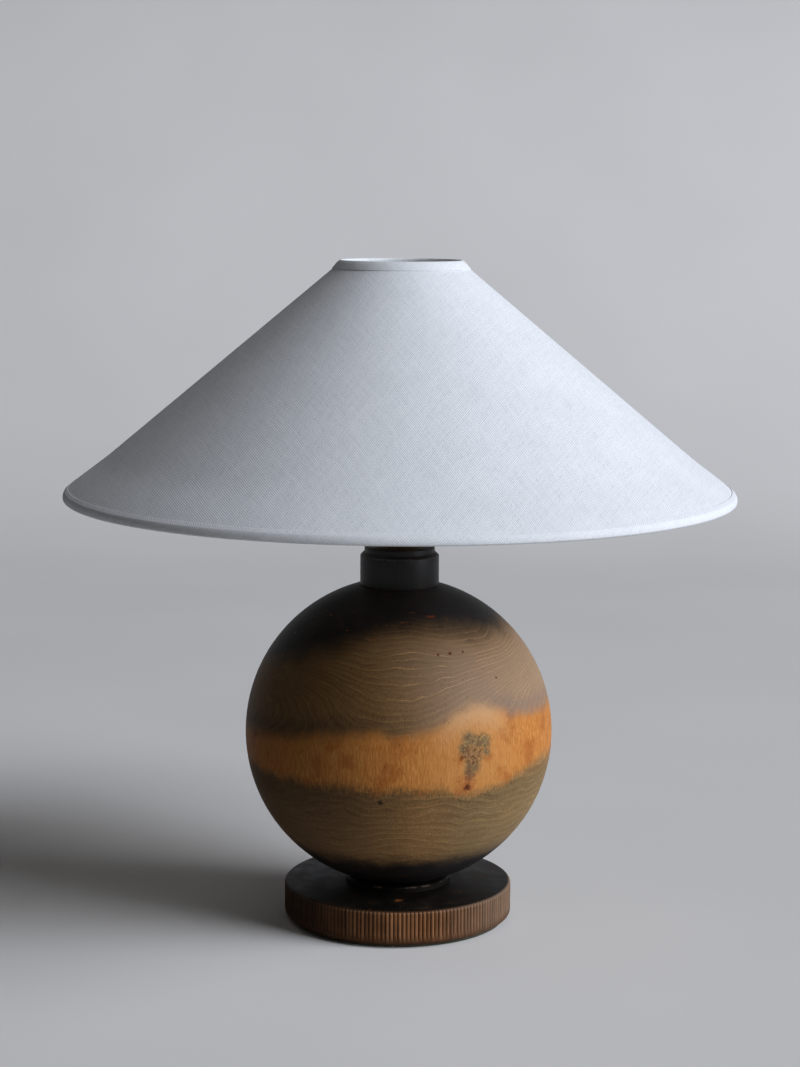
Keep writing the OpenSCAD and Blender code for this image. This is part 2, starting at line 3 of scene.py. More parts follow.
import bmesh
import bpy
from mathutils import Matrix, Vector


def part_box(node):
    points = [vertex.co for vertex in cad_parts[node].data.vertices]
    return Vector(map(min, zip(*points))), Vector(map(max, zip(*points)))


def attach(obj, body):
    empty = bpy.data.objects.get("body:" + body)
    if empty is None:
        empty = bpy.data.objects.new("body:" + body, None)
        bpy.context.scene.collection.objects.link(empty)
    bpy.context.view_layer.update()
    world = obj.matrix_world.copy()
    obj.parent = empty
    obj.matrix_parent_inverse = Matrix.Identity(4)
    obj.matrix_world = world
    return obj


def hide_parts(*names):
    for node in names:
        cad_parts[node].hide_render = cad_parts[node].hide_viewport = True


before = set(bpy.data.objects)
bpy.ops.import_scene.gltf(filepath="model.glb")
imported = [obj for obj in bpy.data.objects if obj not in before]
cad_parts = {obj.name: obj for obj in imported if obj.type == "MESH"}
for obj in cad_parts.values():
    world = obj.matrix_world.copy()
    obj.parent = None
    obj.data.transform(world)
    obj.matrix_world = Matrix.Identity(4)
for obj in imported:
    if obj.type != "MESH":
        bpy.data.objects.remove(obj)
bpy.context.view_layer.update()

MM = 0.001

# The shade's cone: radius and height of the middles of its two wires, and its sheets between them
TOP_WIRE = Vector((36.9, 397.21)) * MM
BOTTOM_WIRE = Vector((197.7, 262.91)) * MM
TOP_WIRE_R = 1.5 * MM
BOTTOM_WIRE_R = 1.8 * MM
SLANT = (BOTTOM_WIRE - TOP_WIRE).length
DOWN_SLOPE = (BOTTOM_WIRE - TOP_WIRE).normalized()
OFF_SLOPE = Vector((-DOWN_SLOPE.y, DOWN_SLOPE.x))
APEX_TO_TOP = TOP_WIRE.x / DOWN_SLOPE.x
SHEET_START = 1.75 * MM
SHEET_END = SLANT - 1.95 * MM
LINEN_T = 0.55 * MM
LINING_T = 0.55 * MM
SHEET_GAP = 0.03 * MM
HEM_FLARE = 1.2 * MM
HEM_FLARE_RUN = 32 * MM
LAP_ANGLE = 4.5 * math.pi / 180
SHEET_ROWS = 64
SHEET_COLUMNS = 300
FLAT_MAP = "flat_cut"

# The tapes round the wires
TAPE_T = 0.22 * MM
TAPE_FOLD_R = 0.12 * MM
TAPE_LEAVES_WIRE = math.radians(72)
TAPE_FOLD_STEPS = 6
TAPE_WIRE_STEPS = 18

# The turned wood
GLOBE_LOW, GLOBE_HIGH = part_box("globe")
GLOBE_R = GLOBE_HIGH.x
GLOBE_MID = (GLOBE_LOW.z + GLOBE_HIGH.z) / 2
BORE_R = 5.4 * MM
BORE_SIDES = 48
TURNED_SIDES = 160
REEDS = 176
REED_SIDES = 8
REED_DEPTH = 0.75 * MM

# How near a face or an edge lies to the place where it is looked for
NEAR_FACE = 0.05 * MM
NEAR_EDGE = 0.03 * MM
NEARLY_LEVEL = 0.9

# What nodes of the materials share: a soft step, a flat noise, and the sockets of a colour mix
SOFT = {"interpolation_type": "SMOOTHSTEP"}
FLAT = {"noise_dimensions": "2D"}
SHARE, FROM, TO = 0, 6, 7
BLENDED = {"out": 2, "data_type": "RGBA"}
TINTED = {"out": 2, "data_type": "RGBA", "blend_type": "MULTIPLY"}

# Camera at the photograph's angle, rolled a little as that is
CAMERA_PLACE = (0.12 * MM, -1362.4 * MM, 439.3 * MM)
CAMERA_TILT = math.radians(90 - 8.467)
CAMERA_ROLL = math.radians(0.35)
CAMERA_LENS = 77.27
CAMERA_FILM = 36
camera_data = bpy.data.cameras.new("photo_camera")
camera_data.lens = CAMERA_LENS
camera_data.sensor_width = CAMERA_FILM
camera = bpy.data.objects.new("photo_camera", camera_data)
camera.location = CAMERA_PLACE
camera.rotation_euler = (CAMERA_TILT, 0, 0)
camera.rotation_euler.rotate_axis("Z", CAMERA_ROLL)
bpy.context.scene.collection.objects.link(camera)
bpy.context.scene.camera = camera


# Small tools for the mesh work


def within(share):
    """A share kept between 0 and 1"""
    return min(1, max(0, share))


def eased(share):
    """A share that starts and ends gently"""
    return share * share * (3 - 2 * share)


def start(primitive, name, **size):
    """Add a primitive on its own and put its place into its mesh"""
    bpy.ops.object.select_all(action="DESELECT")
    primitive(**size)
    piece = bpy.context.object
    piece.name = name
    piece.data.name = name
    bpy.ops.object.transform_apply(location=True, rotation=True, scale=True)
    return piece


def pick(piece, kind, test):
    """In edit mode, select only the faces or edges that pass the test"""
    bpy.ops.mesh.select_mode(type=kind)
    bpy.ops.mesh.select_all(action="DESELECT")
    shape = bmesh.from_edit_mesh(piece.data)
    for item in shape.faces if kind == "FACE" else shape.edges:
        if test(item):
            item.select_set(True)
    bmesh.update_edit_mesh(piece.data)


def facing(direction, height):
    """A test for the flat faces that look up (1) or down (-1) at a height"""
    return lambda face: (
        face.normal.z * direction > NEARLY_LEVEL
        and abs(face.calc_center_median().z - height) < NEAR_FACE
    )


def ring_at(radius, height):
    """A test for the edges of a ring of this radius at a height"""
    return lambda edge: all(
        abs(math.hypot(v.co.x, v.co.y) - radius) < NEAR_EDGE and abs(v.co.z - height) < NEAR_EDGE
        for v in edge.verts
    )


def drill(piece, top, bottom, top_r, bottom_r):
    """Open the bore between the two flat ends of a turned piece"""
    for direction, height, radius in ((1, top, top_r), (-1, bottom, bottom_r)):
        pick(piece, "FACE", facing(direction, height))
        bpy.ops.mesh.inset(thickness=radius - BORE_R)
        bpy.ops.mesh.delete(type="FACE")
    rims = [ring_at(BORE_R, top), ring_at(BORE_R, bottom)]
    pick(piece, "EDGE", lambda edge: any(rim(edge) for rim in rims))
    bpy.ops.mesh.bridge_edge_loops()


def finish(piece, slot, body, node, angle=35):
    """Shade a piece, give it its slot's material, let it ride on a body and stand for its CAD node"""
    if piece.mode == "EDIT":
        bpy.ops.object.mode_set(mode="OBJECT")
    bpy.ops.object.select_all(action="DESELECT")
    piece.select_set(True)
    bpy.context.view_layer.objects.active = piece
    bpy.ops.object.shade_smooth_by_angle(angle=math.radians(angle))
    piece.data.materials.clear()
    piece.data.materials.append(finishes[slot])
    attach(piece, body)
    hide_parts(node)


# Small tools for the materials


def srgb(code):
    """Linear colour from an sRGB hex code"""
    channels = [int(code[i : i + 2], 16) / 255 for i in (1, 3, 5)]
    return [c / 12.92 if c <= 0.04045 else ((c + 0.055) / 1.055) ** 2.4 for c in channels] + [1.0]


def add(tree, kind, inputs=(), out=0, stops=(), **settings):
    """
    Add a node with its settings, link or fill its inputs, and return one of its outputs.
    A MapRange takes a value, the two ends that it runs between, and what it gives at each of them.
    """
    node = tree.nodes.new("ShaderNode" + kind)
    for key, value in settings.items():
        setattr(node, key, value)
    for key, value in inputs.items() if isinstance(inputs, dict) else enumerate(inputs):
        if isinstance(value, bpy.types.NodeSocket):
            tree.links.new(value, node.inputs[key])
        else:
            node.inputs[key].default_value = srgb(value) if isinstance(value, str) else value
    for i, (place, colour) in enumerate(stops):
        elements = node.color_ramp.elements
        element = elements[i] if i < 2 else elements.new(place)
        element.position = place
        element.color = srgb(colour)
    return node.outputs[out]


def new_material(name, **values):
    """A material with one Principled shader, whose plain values sit on its own sockets"""
    made = bpy.data.materials.new(name)
    made.use_nodes = True
    tree = made.node_tree
    shader = tree.nodes["Principled BSDF"]
    for key, value in values.items():
        shader.inputs[key.replace("_", " ")].default_value = value
    return made, tree, shader


# Materials of the turned wood


def on_globe(degrees, up):
    """A point on the globe, in millimetres: degrees to the right of the front, and its height"""
    level_r = math.sqrt((GLOBE_R / MM) ** 2 - up**2)
    return level_r * math.sin(math.radians(degrees)), -level_r * math.cos(math.radians(degrees)), up


def scorched_globe_wood():
    # Beech turned on a lathe, stained olive, scorched at both poles and waxed. The eye sees a bare tan
    # belt with ragged edges along the fibres, growth rings in thin light lines, and one grey knot.
    made, tree, shader = new_material("scorched_beech", Roughness=0.55, IOR=1.44, Specular_IOR_Level=0.06)
    place = add(tree, "TexCoord", out="Object")
    middle = (0, 0, -GLOBE_MID / MM)
    point = add(tree, "Mapping", {"Vector": place, "Location": middle, "Scale": (1 / MM,) * 3})
    x, y, z = add(tree, "SeparateXYZ", [point]).node.outputs

    # Slow unevenness of 45 and 14 mm, and fibres 0.9 and 0.75 mm wide that run along the lamp's axis
    slow = add(tree, "TexNoise", {"Vector": point, "Scale": 1 / 45, "Detail": 2})
    patch = add(tree, "TexNoise", {"Vector": point, "Scale": 1 / 14, "Detail": 3})
    along = add(tree, "Mapping", {"Vector": point, "Scale": (1 / 0.9, 1 / 0.9, 1 / 16)})
    fibre = add(tree, "TexNoise", {"Vector": along, "Scale": 1, "Detail": 4, "Roughness": 0.6})
    fine_along = add(tree, "Mapping", {"Vector": point, "Scale": (1 / 0.75, 1 / 0.75, 1 / 6)})
    hair = add(tree, "TexNoise", {"Vector": fine_along, "Scale": 1, "Detail": 3, "Roughness": 0.65})

    # Height on the globe, made ragged for the edges of the stain
    patch_mm = add(tree, "Math", [patch, 8, -4], operation="MULTIPLY_ADD")
    fibre_mm = add(tree, "Math", [fibre, 5, -2.5], operation="MULTIPLY_ADD")
    hair_mm = add(tree, "Math", [hair, 9, -4.5], operation="MULTIPLY_ADD")
    ragged = add(tree, "Math", [patch_mm, fibre_mm], operation="ADD")
    ragged = add(tree, "Math", [ragged, hair_mm], operation="ADD")
    height = add(tree, "Math", [z, ragged], operation="ADD")

    # Distance sideways from the knot's meridian, 29 degrees to the right of the front
    knot_turn = math.radians(29)
    knot_right = (math.cos(knot_turn), math.sin(knot_turn), 0)
    aside = add(tree, "VectorMath", [point, knot_right], "Value", operation="DOT_PRODUCT")
    off = add(tree, "Math", [aside], operation="ABSOLUTE")

    # The bare belt: it swells round the knot, sinks towards the left and climbs at the right
    swell_left = add(tree, "MapRange", [aside, -34, -2, 17.5, 31.5], **SOFT)
    swell_right = add(tree, "MapRange", [aside, 0, 46, 31.5, 21.5], **SOFT)
    swell_up = add(tree, "Math", [swell_left, swell_right], operation="MINIMUM")
    sink = add(tree, "MapRange", [x, -95, -15, -11, 0], **SOFT)
    belt_top = add(tree, "Math", [swell_up, sink], operation="ADD")
    swell_down = add(tree, "MapRange", [off, 0, 34, -18.5, -14], **SOFT)
    climb = add(tree, "MapRange", [aside, 14, 50, 0, 6.5], **SOFT)
    belt_foot = add(tree, "Math", [swell_down, climb], operation="ADD")
    below_top = add(tree, "Math", [belt_top, height], operation="SUBTRACT")
    above_foot = add(tree, "Math", [height, belt_foot], operation="SUBTRACT")
    upper = add(tree, "MapRange", [below_top, -5, 5, 0, 1], **SOFT)
    lower = add(tree, "MapRange", [above_foot, -4.5, 4.5, 0, 1], **SOFT)
    belt = add(tree, "Math", [upper, lower], operation="MULTIPLY")

    # Growth rings 4 mm apart round a point in the scorched top: deep bows just above the belt, shallow
    # ones elsewhere; some end in a thin light line
    ring_gap = 4
    deeper = add(tree, "MapRange", [z, -15, 26, 0.5, 1.35], **SOFT)
    flatter = add(tree, "MapRange", [z, 32, 66, 1.35, 0.6], **SOFT)
    bend = add(tree, "Math", [deeper, flatter], operation="MINIMUM")
    sideways = add(tree, "Math", [x, bend], operation="MULTIPLY")
    bowed = add(tree, "CombineXYZ", [sideways, y, z])
    level = add(tree, "VectorMath", [bowed, on_globe(2, 86)], "Value", operation="DISTANCE")
    level = add(tree, "Math", [slow, 16, level], operation="MULTIPLY_ADD")
    level = add(tree, "Math", [patch, 4, level], operation="MULTIPLY_ADD")
    level = add(tree, "Math", [hair, 1.1, level], operation="MULTIPLY_ADD")
    rings = add(tree, "Math", [level, ring_gap], operation="DIVIDE")
    ring = add(tree, "Math", [rings], operation="FRACT")
    ring_number = add(tree, "Math", [rings], operation="FLOOR")
    ring_share = add(tree, "TexWhiteNoise", {"W": ring_number}, noise_dimensions="1D")
    line = add(tree, "MapRange", [ring, 0.8, 0.94, 0, 1], **SOFT)
    line_share = add(tree, "MapRange", [ring_share, 0.15, 1, 0.05, 0.7])
    line = add(tree, "Math", [line, line_share], operation="MULTIPLY")
    broken = add(tree, "MapRange", [patch, 0.4, 0.6, 0.1, 1])
    to_left = add(tree, "MapRange", [x, -60, 0, 0.15, 1])
    to_foot = add(tree, "MapRange", [z, -25, -5, 0.8, 1])
    for fading in (broken, to_left, to_foot):
        line = add(tree, "Math", [line, fading], operation="MULTIPLY")

    # Thin broken streaks 0.8 mm wide that follow the rings
    streak_at = add(tree, "CombineXYZ", [x, y, level])
    streak_at = add(tree, "Mapping", {"Vector": streak_at, "Scale": (1 / 13, 1 / 13, 1 / 0.8)})
    streaks = add(tree, "TexNoise", {"Vector": streak_at, "Scale": 1, "Detail": 3, "Roughness": 0.6})
    stained = add(tree, "ValToRGB", [streaks], stops=[(0.3, "#735534"), (0.5, "#7f603c"), (0.7, "#8b6a43")])
    ring_tone = add(tree, "MapRange", [ring, 0, 1, 0.86, 1.1])
    stained = add(tree, "Mix", {SHARE: 1.0, FROM: stained, TO: ring_tone}, **TINTED)
    grain = add(tree, "MapRange", [hair, 0.28, 0.72, 0.75, 1.25])
    stained = add(tree, "Mix", {SHARE: 1.0, FROM: stained, TO: grain}, **TINTED)
    # Painted light: the stain is painted paler towards the lit right, and paler low down where light thrown
    # up from the floor falls
    paler = add(tree, "MapRange", [aside, -45, 75, 0.9, 1.45])
    painted_bounce_foot = add(tree, "MapRange", [z, -12, -42, 1, 1.3], **SOFT)
    paler = add(tree, "Math", [paler, painted_bounce_foot], operation="MULTIPLY")
    stained = add(tree, "Mix", {SHARE: 1.0, FROM: stained, TO: paler}, **TINTED)

    # Painted sheen: the stain is painted greyer above the belt, on the knot's side, and the ring lines are
    # painted lighter there too
    sheen_side = add(tree, "MapRange", [aside, -58, 2, 0, 1], **SOFT)
    sheen_up = add(tree, "MapRange", [height, 80, 52, 0, 0.45], **SOFT)
    high_enough = add(tree, "MapRange", [height, -5, 15, 0, 1], **SOFT)
    painted_sheen = add(tree, "Math", [sheen_side, sheen_up], operation="MULTIPLY")
    painted_sheen = add(tree, "Math", [painted_sheen, high_enough], operation="MULTIPLY")
    sheen_greyed = add(tree, "Mix", {SHARE: painted_sheen, FROM: stained, TO: "#ab9683"}, **BLENDED)
    sheen_lines = add(tree, "Math", [sheen_side, high_enough], operation="MULTIPLY")
    line_tone = add(tree, "Mix", {SHARE: sheen_lines, FROM: "#c0915a", TO: "#deb184"}, **BLENDED)
    sheen_greyed = add(tree, "Mix", {SHARE: line, FROM: sheen_greyed, TO: line_tone}, **BLENDED)

    # Below the belt the stain is cooler and darker to the right
    cool_side = add(tree, "MapRange", [x, 5, 45, 0, 1], **SOFT)
    cool_low = add(tree, "MapRange", [z, -5, -20, 0, 1], **SOFT)
    cool = add(tree, "Math", [cool_side, cool_low], operation="MULTIPLY")
    sheen_greyed = add(tree, "Mix", {SHARE: cool, FROM: sheen_greyed, TO: "#ddeeff"}, **TINTED)

    # The stain is darkest where it stops above the belt, and greyer there to the right of the knot
    margin = add(tree, "MapRange", [below_top, -17, -5, 0, 1], **SOFT)
    margin_side = add(tree, "MapRange", [aside, -70, -30, 0.42, 0.03])
    margin = add(tree, "Math", [margin, margin_side], operation="MULTIPLY")
    sheen_greyed = add(tree, "Mix", {SHARE: margin, FROM: sheen_greyed, TO: "#3a2f28"}, **BLENDED)
    pool = add(tree, "MapRange", [below_top, -13, -4, 0, 1], **SOFT)
    pool_side = add(tree, "MapRange", [aside, 6, 24, 0, 0.45], **SOFT)
    pool = add(tree, "Math", [pool, pool_side], operation="MULTIPLY")
    pool = add(tree, "Math", [pool, high_enough], operation="MULTIPLY")
    sheen_greyed = add(tree, "Mix", {SHARE: pool, FROM: sheen_greyed, TO: "#7a6a62"}, **BLENDED)

    # The bare wood: fine fibres, paler round the knot and along the top over it, with reddish patches
    tan = add(tree, "ValToRGB", [hair], stops=[(0.28, "#a4612c"), (0.5, "#bc7b3d"), (0.72, "#d19252")])
    pale = add(tree, "MapRange", [off, 5, 45, 0.55, 0], **SOFT)
    tan = add(tree, "Mix", {SHARE: pale, FROM: tan, TO: "#c08950"}, **BLENDED)
    crown_side = add(tree, "MapRange", [off, 6, 30, 0.5, 0], **SOFT)
    crown_up = add(tree, "MapRange", [below_top, 18, 2, 0, 1], **SOFT)
    crown = add(tree, "Math", [crown_side, crown_up], operation="MULTIPLY")
    tan = add(tree, "Mix", {SHARE: crown, FROM: tan, TO: "#d6b086"}, **BLENDED)
    blush = add(tree, "MapRange", [patch, 0.52, 0.7, 0, 0.55], **SOFT)
    tan = add(tree, "Mix", {SHARE: blush, FROM: tan, TO: "#9a5526"}, **BLENDED)
    coloured = add(tree, "Mix", {SHARE: belt, FROM: sheen_greyed, TO: tan}, **BLENDED)

    # Short dark pores
    dashes = add(tree, "Mapping", {"Vector": point, "Scale": (1 / 1.6, 1 / 1.6, 1 / 5)})
    pore = add(tree, "TexVoronoi", {"Vector": dashes, "Scale": 1})
    pore_mask = add(tree, "MapRange", [pore, 0.1, 0.24, 0.45, 0], **SOFT)
    sparse = add(tree, "MapRange", [patch, 0.38, 0.58, 0, 1])
    pores = add(tree, "Math", [pore_mask, sparse], operation="MULTIPLY")
    coloured = add(tree, "Mix", {SHARE: pores, FROM: coloured, TO: "#4e2a15"}, **BLENDED)

    # The knot: grey lobes over a speckled middle, and a neck below them. Each lobe has its degrees to
    # the right of the front, its height and its radius.
    crumbs = add(tree, "TexNoise", {"Vector": point, "Scale": 1 / 1.7, "Detail": 4, "Roughness": 0.68})
    lobes = (
        (26.0, 13.5, 4.8),
        (32.2, 12, 4.6),
        (29.2, 11.5, 4.4),
        (24.2, 8.5, 3.8),
        (32.8, 6, 3),
        (27.5, 4.5, 6.2),
        (27.3, -1.5, 5.3),
        (26.5, -5.5, 4),
        (26.1, -9, 2.4),
    )
    knot_d = None
    for degrees, up, lobe_r in lobes:
        lobe = add(tree, "VectorMath", [point, on_globe(degrees, up)], "Value", operation="DISTANCE")
        lobe = add(tree, "Math", [lobe, lobe_r], operation="SUBTRACT")
        knot_d = add(tree, "Math", [knot_d, lobe, 2], operation="SMOOTH_MIN") if knot_d else lobe
    knot_d = add(tree, "Math", [crumbs, 7, knot_d], operation="MULTIPLY_ADD")
    knot_d = add(tree, "Math", [knot_d, 3.5], operation="SUBTRACT")
    knot = add(tree, "MapRange", [knot_d, 2, -2.2, 0, 0.85], **SOFT)
    cracks = add(
        tree, "TexNoise",
        {"Vector": point, "Scale": 1 / 2.6, "Detail": 3, "Roughness": 0.6, "Distortion": 1.2},
    )
    knot_tone = add(
        tree, "ValToRGB", [cracks],
        stops=[(0.36, "#3f3224"), (0.45, "#64583f"), (0.54, "#796a4f"), (0.66, "#a5854f")],
    )
    heart = add(tree, "VectorMath", [point, on_globe(27.7, 4.5)], "Value", operation="DISTANCE")
    heart = add(tree, "Math", [crumbs, 6, heart], operation="MULTIPLY_ADD")
    heart = add(tree, "MapRange", [heart, 10.5, 7, 0, 0.85], **SOFT)
    heart_tone = add(
        tree, "ValToRGB", [crumbs], stops=[(0.4, "#3f2717"), (0.46, "#735439"), (0.6, "#a07a54")]
    )
    knot_tone = add(tree, "Mix", {SHARE: heart, FROM: knot_tone, TO: heart_tone}, **BLENDED)
    neck = add(tree, "MapRange", [z, 0, -9, 0, 0.6], **SOFT)
    knot_tone = add(tree, "Mix", {SHARE: neck, FROM: knot_tone, TO: "#6f4735"}, **BLENDED)
    coloured = add(tree, "Mix", {SHARE: knot, FROM: coloured, TO: knot_tone}, **BLENDED)

    # A red dot under the knot, and resin spots and pinholes: degrees, height, radius, strength, colour
    resin = "#5d1f10"
    spots = (
        (25.8, -12.5, 5, 0.45, "#99502a"),
        (25.6, -14.3, 2.3, 0.85, "#4b1f17"),
        (22.9, 3.6, 1.6, 0.7, "#4a2016"),
        (18.3, 60, 0.9, 0.85, resin),
        (24.5, 60.3, 1.0, 0.85, resin),
        (31.5, 60.4, 0.8, 0.85, resin),
        (-6.6, -22, 1.7, 0.8, "#20201f"),
        (44, 45, 0.9, 0.7, "#5a2412"),
    )
    for degrees, up, spot_r, strength, spot_tone in spots:
        away = add(tree, "VectorMath", [point, on_globe(degrees, up)], "Value", operation="DISTANCE")
        away = add(tree, "Math", [crumbs, 2.4 * spot_r, away], operation="MULTIPLY_ADD")
        spot = add(tree, "MapRange", [away, 2.5 * spot_r, 1.7 * spot_r, 0, strength], **SOFT)
        coloured = add(tree, "Mix", {SHARE: spot, FROM: coloured, TO: spot_tone}, **BLENDED)

    # Scorching at the poles, further down on the left and a little on the right; painted shade darkens the
    # left
    slide = add(tree, "MapRange", [x, -95, 10, 26, 0], **SOFT)
    slide_right = add(tree, "MapRange", [x, 15, 65, 0, 5], **SOFT)
    high = add(tree, "Math", [height, slide], operation="ADD")
    high = add(tree, "Math", [high, slide_right], operation="ADD")
    burnt_top = add(tree, "MapRange", [high, 63.5, 80, 0, 1], **SOFT)
    burnt_foot = add(tree, "MapRange", [height, -55, -70, 0, 1], **SOFT)
    burnt = add(tree, "Math", [burnt_top, burnt_foot], operation="MAXIMUM")
    soot = add(tree, "ValToRGB", [patch], stops=[(0.35, "#191716"), (0.62, "#221d1a"), (0.75, "#302218")])
    # Painted sheen: the soot is painted greyer towards the right, standing in for a reflection on it
    soot_sheen = add(tree, "MapRange", [x, -10, 40, 0, 0.8], **SOFT)
    soot = add(tree, "Mix", {SHARE: soot_sheen, FROM: soot, TO: "#2f2d2d"}, **BLENDED)
    scuff_along = add(tree, "Mapping", {"Vector": point, "Scale": (1 / 6, 1 / 6, 1 / 1.6)})
    scuff = add(tree, "TexNoise", {"Vector": scuff_along, "Scale": 1, "Detail": 3, "Roughness": 0.6})
    scuffs = add(tree, "MapRange", [scuff, 0.68, 0.74, 0, 0.75], **SOFT)
    soot = add(tree, "Mix", {SHARE: scuffs, FROM: soot, TO: "#7d4526"}, **BLENDED)
    # Painted shade: the whole colour is darkened towards the left
    painted_shade_left = add(tree, "MapRange", [x, -88, 5, 0.5, 1], **SOFT)
    coloured = add(tree, "Mix", {SHARE: 1.0, FROM: coloured, TO: painted_shade_left}, **TINTED)
    coloured = add(tree, "Mix", {SHARE: burnt, FROM: coloured, TO: soot}, **BLENDED)

    # A few orange scratches along the lathe's turn near the top: degrees, height and half their width
    lathe = (1, 1, 5)
    scratches = ((22, 78.5, 4.5), (8, 80.5, 1.6), (1.5, 76, 1.8), (-13, 67.5, 2.4), (-30, 71, 2))
    flattened = add(tree, "VectorMath", [point, lathe], operation="MULTIPLY")
    for degrees, up, half_w in scratches:
        scratch_at = [p * s for p, s in zip(on_globe(degrees, up), lathe)]
        away = add(tree, "VectorMath", [flattened, scratch_at], "Value", operation="DISTANCE")
        away = add(tree, "Math", [crumbs, 2 * half_w, away], operation="MULTIPLY_ADD")
        scratch = add(tree, "MapRange", [away, 2 * half_w, 1.2 * half_w, 0, 0.6], **SOFT)
        coloured = add(tree, "Mix", {SHARE: scratch, FROM: coloured, TO: "#8a4422"}, **BLENDED)
    tree.links.new(coloured, shader.inputs["Base Color"])

    # Wax fills most of the fibres, so the relief is low and the gloss uneven
    gloss = add(tree, "MapRange", [fibre, 0.3, 0.7, 0.42, 0.58])
    tree.links.new(gloss, shader.inputs["Roughness"])
    relief = add(tree, "Math", [hair, pores], operation="SUBTRACT")
    relief = add(tree, "Math", [knot, -0.4, relief], operation="MULTIPLY_ADD")
    bump = add(tree, "Bump", {"Strength": 0.35, "Distance": 0.15 * MM, "Height": relief})
    tree.links.new(bump, shader.inputs["Normal"])
    return made


def ebonised_wood():
    # Beech turned and stained black, rubbed at its edges. The eye sees satin black with faint vertical
    # fibres and a greyer sheen where hands have worn it.
    made, tree, shader = new_material("ebonised_beech", Roughness=0.45, IOR=1.44, Specular_IOR_Level=0.3)
    place = add(tree, "TexCoord", out="Object")
    along = add(tree, "Mapping", {"Vector": place, "Scale": (1 / (0.6 * MM), 1 / (0.6 * MM), 1 / (9 * MM))})
    fibre = add(tree, "TexNoise", {"Vector": along, "Scale": 1, "Detail": 4, "Roughness": 0.6})
    wear = add(tree, "TexNoise", {"Vector": place, "Scale": 1 / (9 * MM), "Detail": 4})
    tone = add(tree, "ValToRGB", [fibre], stops=[(0.3, "#0a0909"), (0.55, "#100f0e"), (0.8, "#1b1816")])
    rubbed = add(tree, "MapRange", [wear, 0.56, 0.72, 0, 0.5], **SOFT)
    tone = add(tree, "Mix", {SHARE: rubbed, FROM: tone, TO: "#2b2420"}, **BLENDED)

    # Both edges of the body are rubbed through to grey, here more and there less
    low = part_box("collar")[0].z
    lower_edge = low + 0.3 * MM
    upper_edge = low + 17.8 * MM
    height = add(tree, "SeparateXYZ", [place], "Z")
    for edge_z in (lower_edge, upper_edge):
        off_edge = add(tree, "Math", [height, edge_z], operation="SUBTRACT")
        off_edge = add(tree, "Math", [off_edge], operation="ABSOLUTE")
        edge = add(tree, "MapRange", [off_edge, 0.2 * MM, 0.6 * MM, 0.6, 0], **SOFT)
        worn = add(tree, "MapRange", [fibre, 0.42, 0.62, 0, 1], **SOFT)
        edge = add(tree, "Math", [edge, worn], operation="MULTIPLY")
        tone = add(tree, "Mix", {SHARE: edge, FROM: tone, TO: "#5a524c"}, **BLENDED)
    tree.links.new(tone, shader.inputs["Base Color"])
    gloss = add(tree, "MapRange", [wear, 0.3, 0.7, 0.38, 0.5])
    tree.links.new(gloss, shader.inputs["Roughness"])
    bump = add(tree, "Bump", {"Strength": 0.3, "Distance": 0.12 * MM, "Height": fibre})
    tree.links.new(bump, shader.inputs["Normal"])
    return made


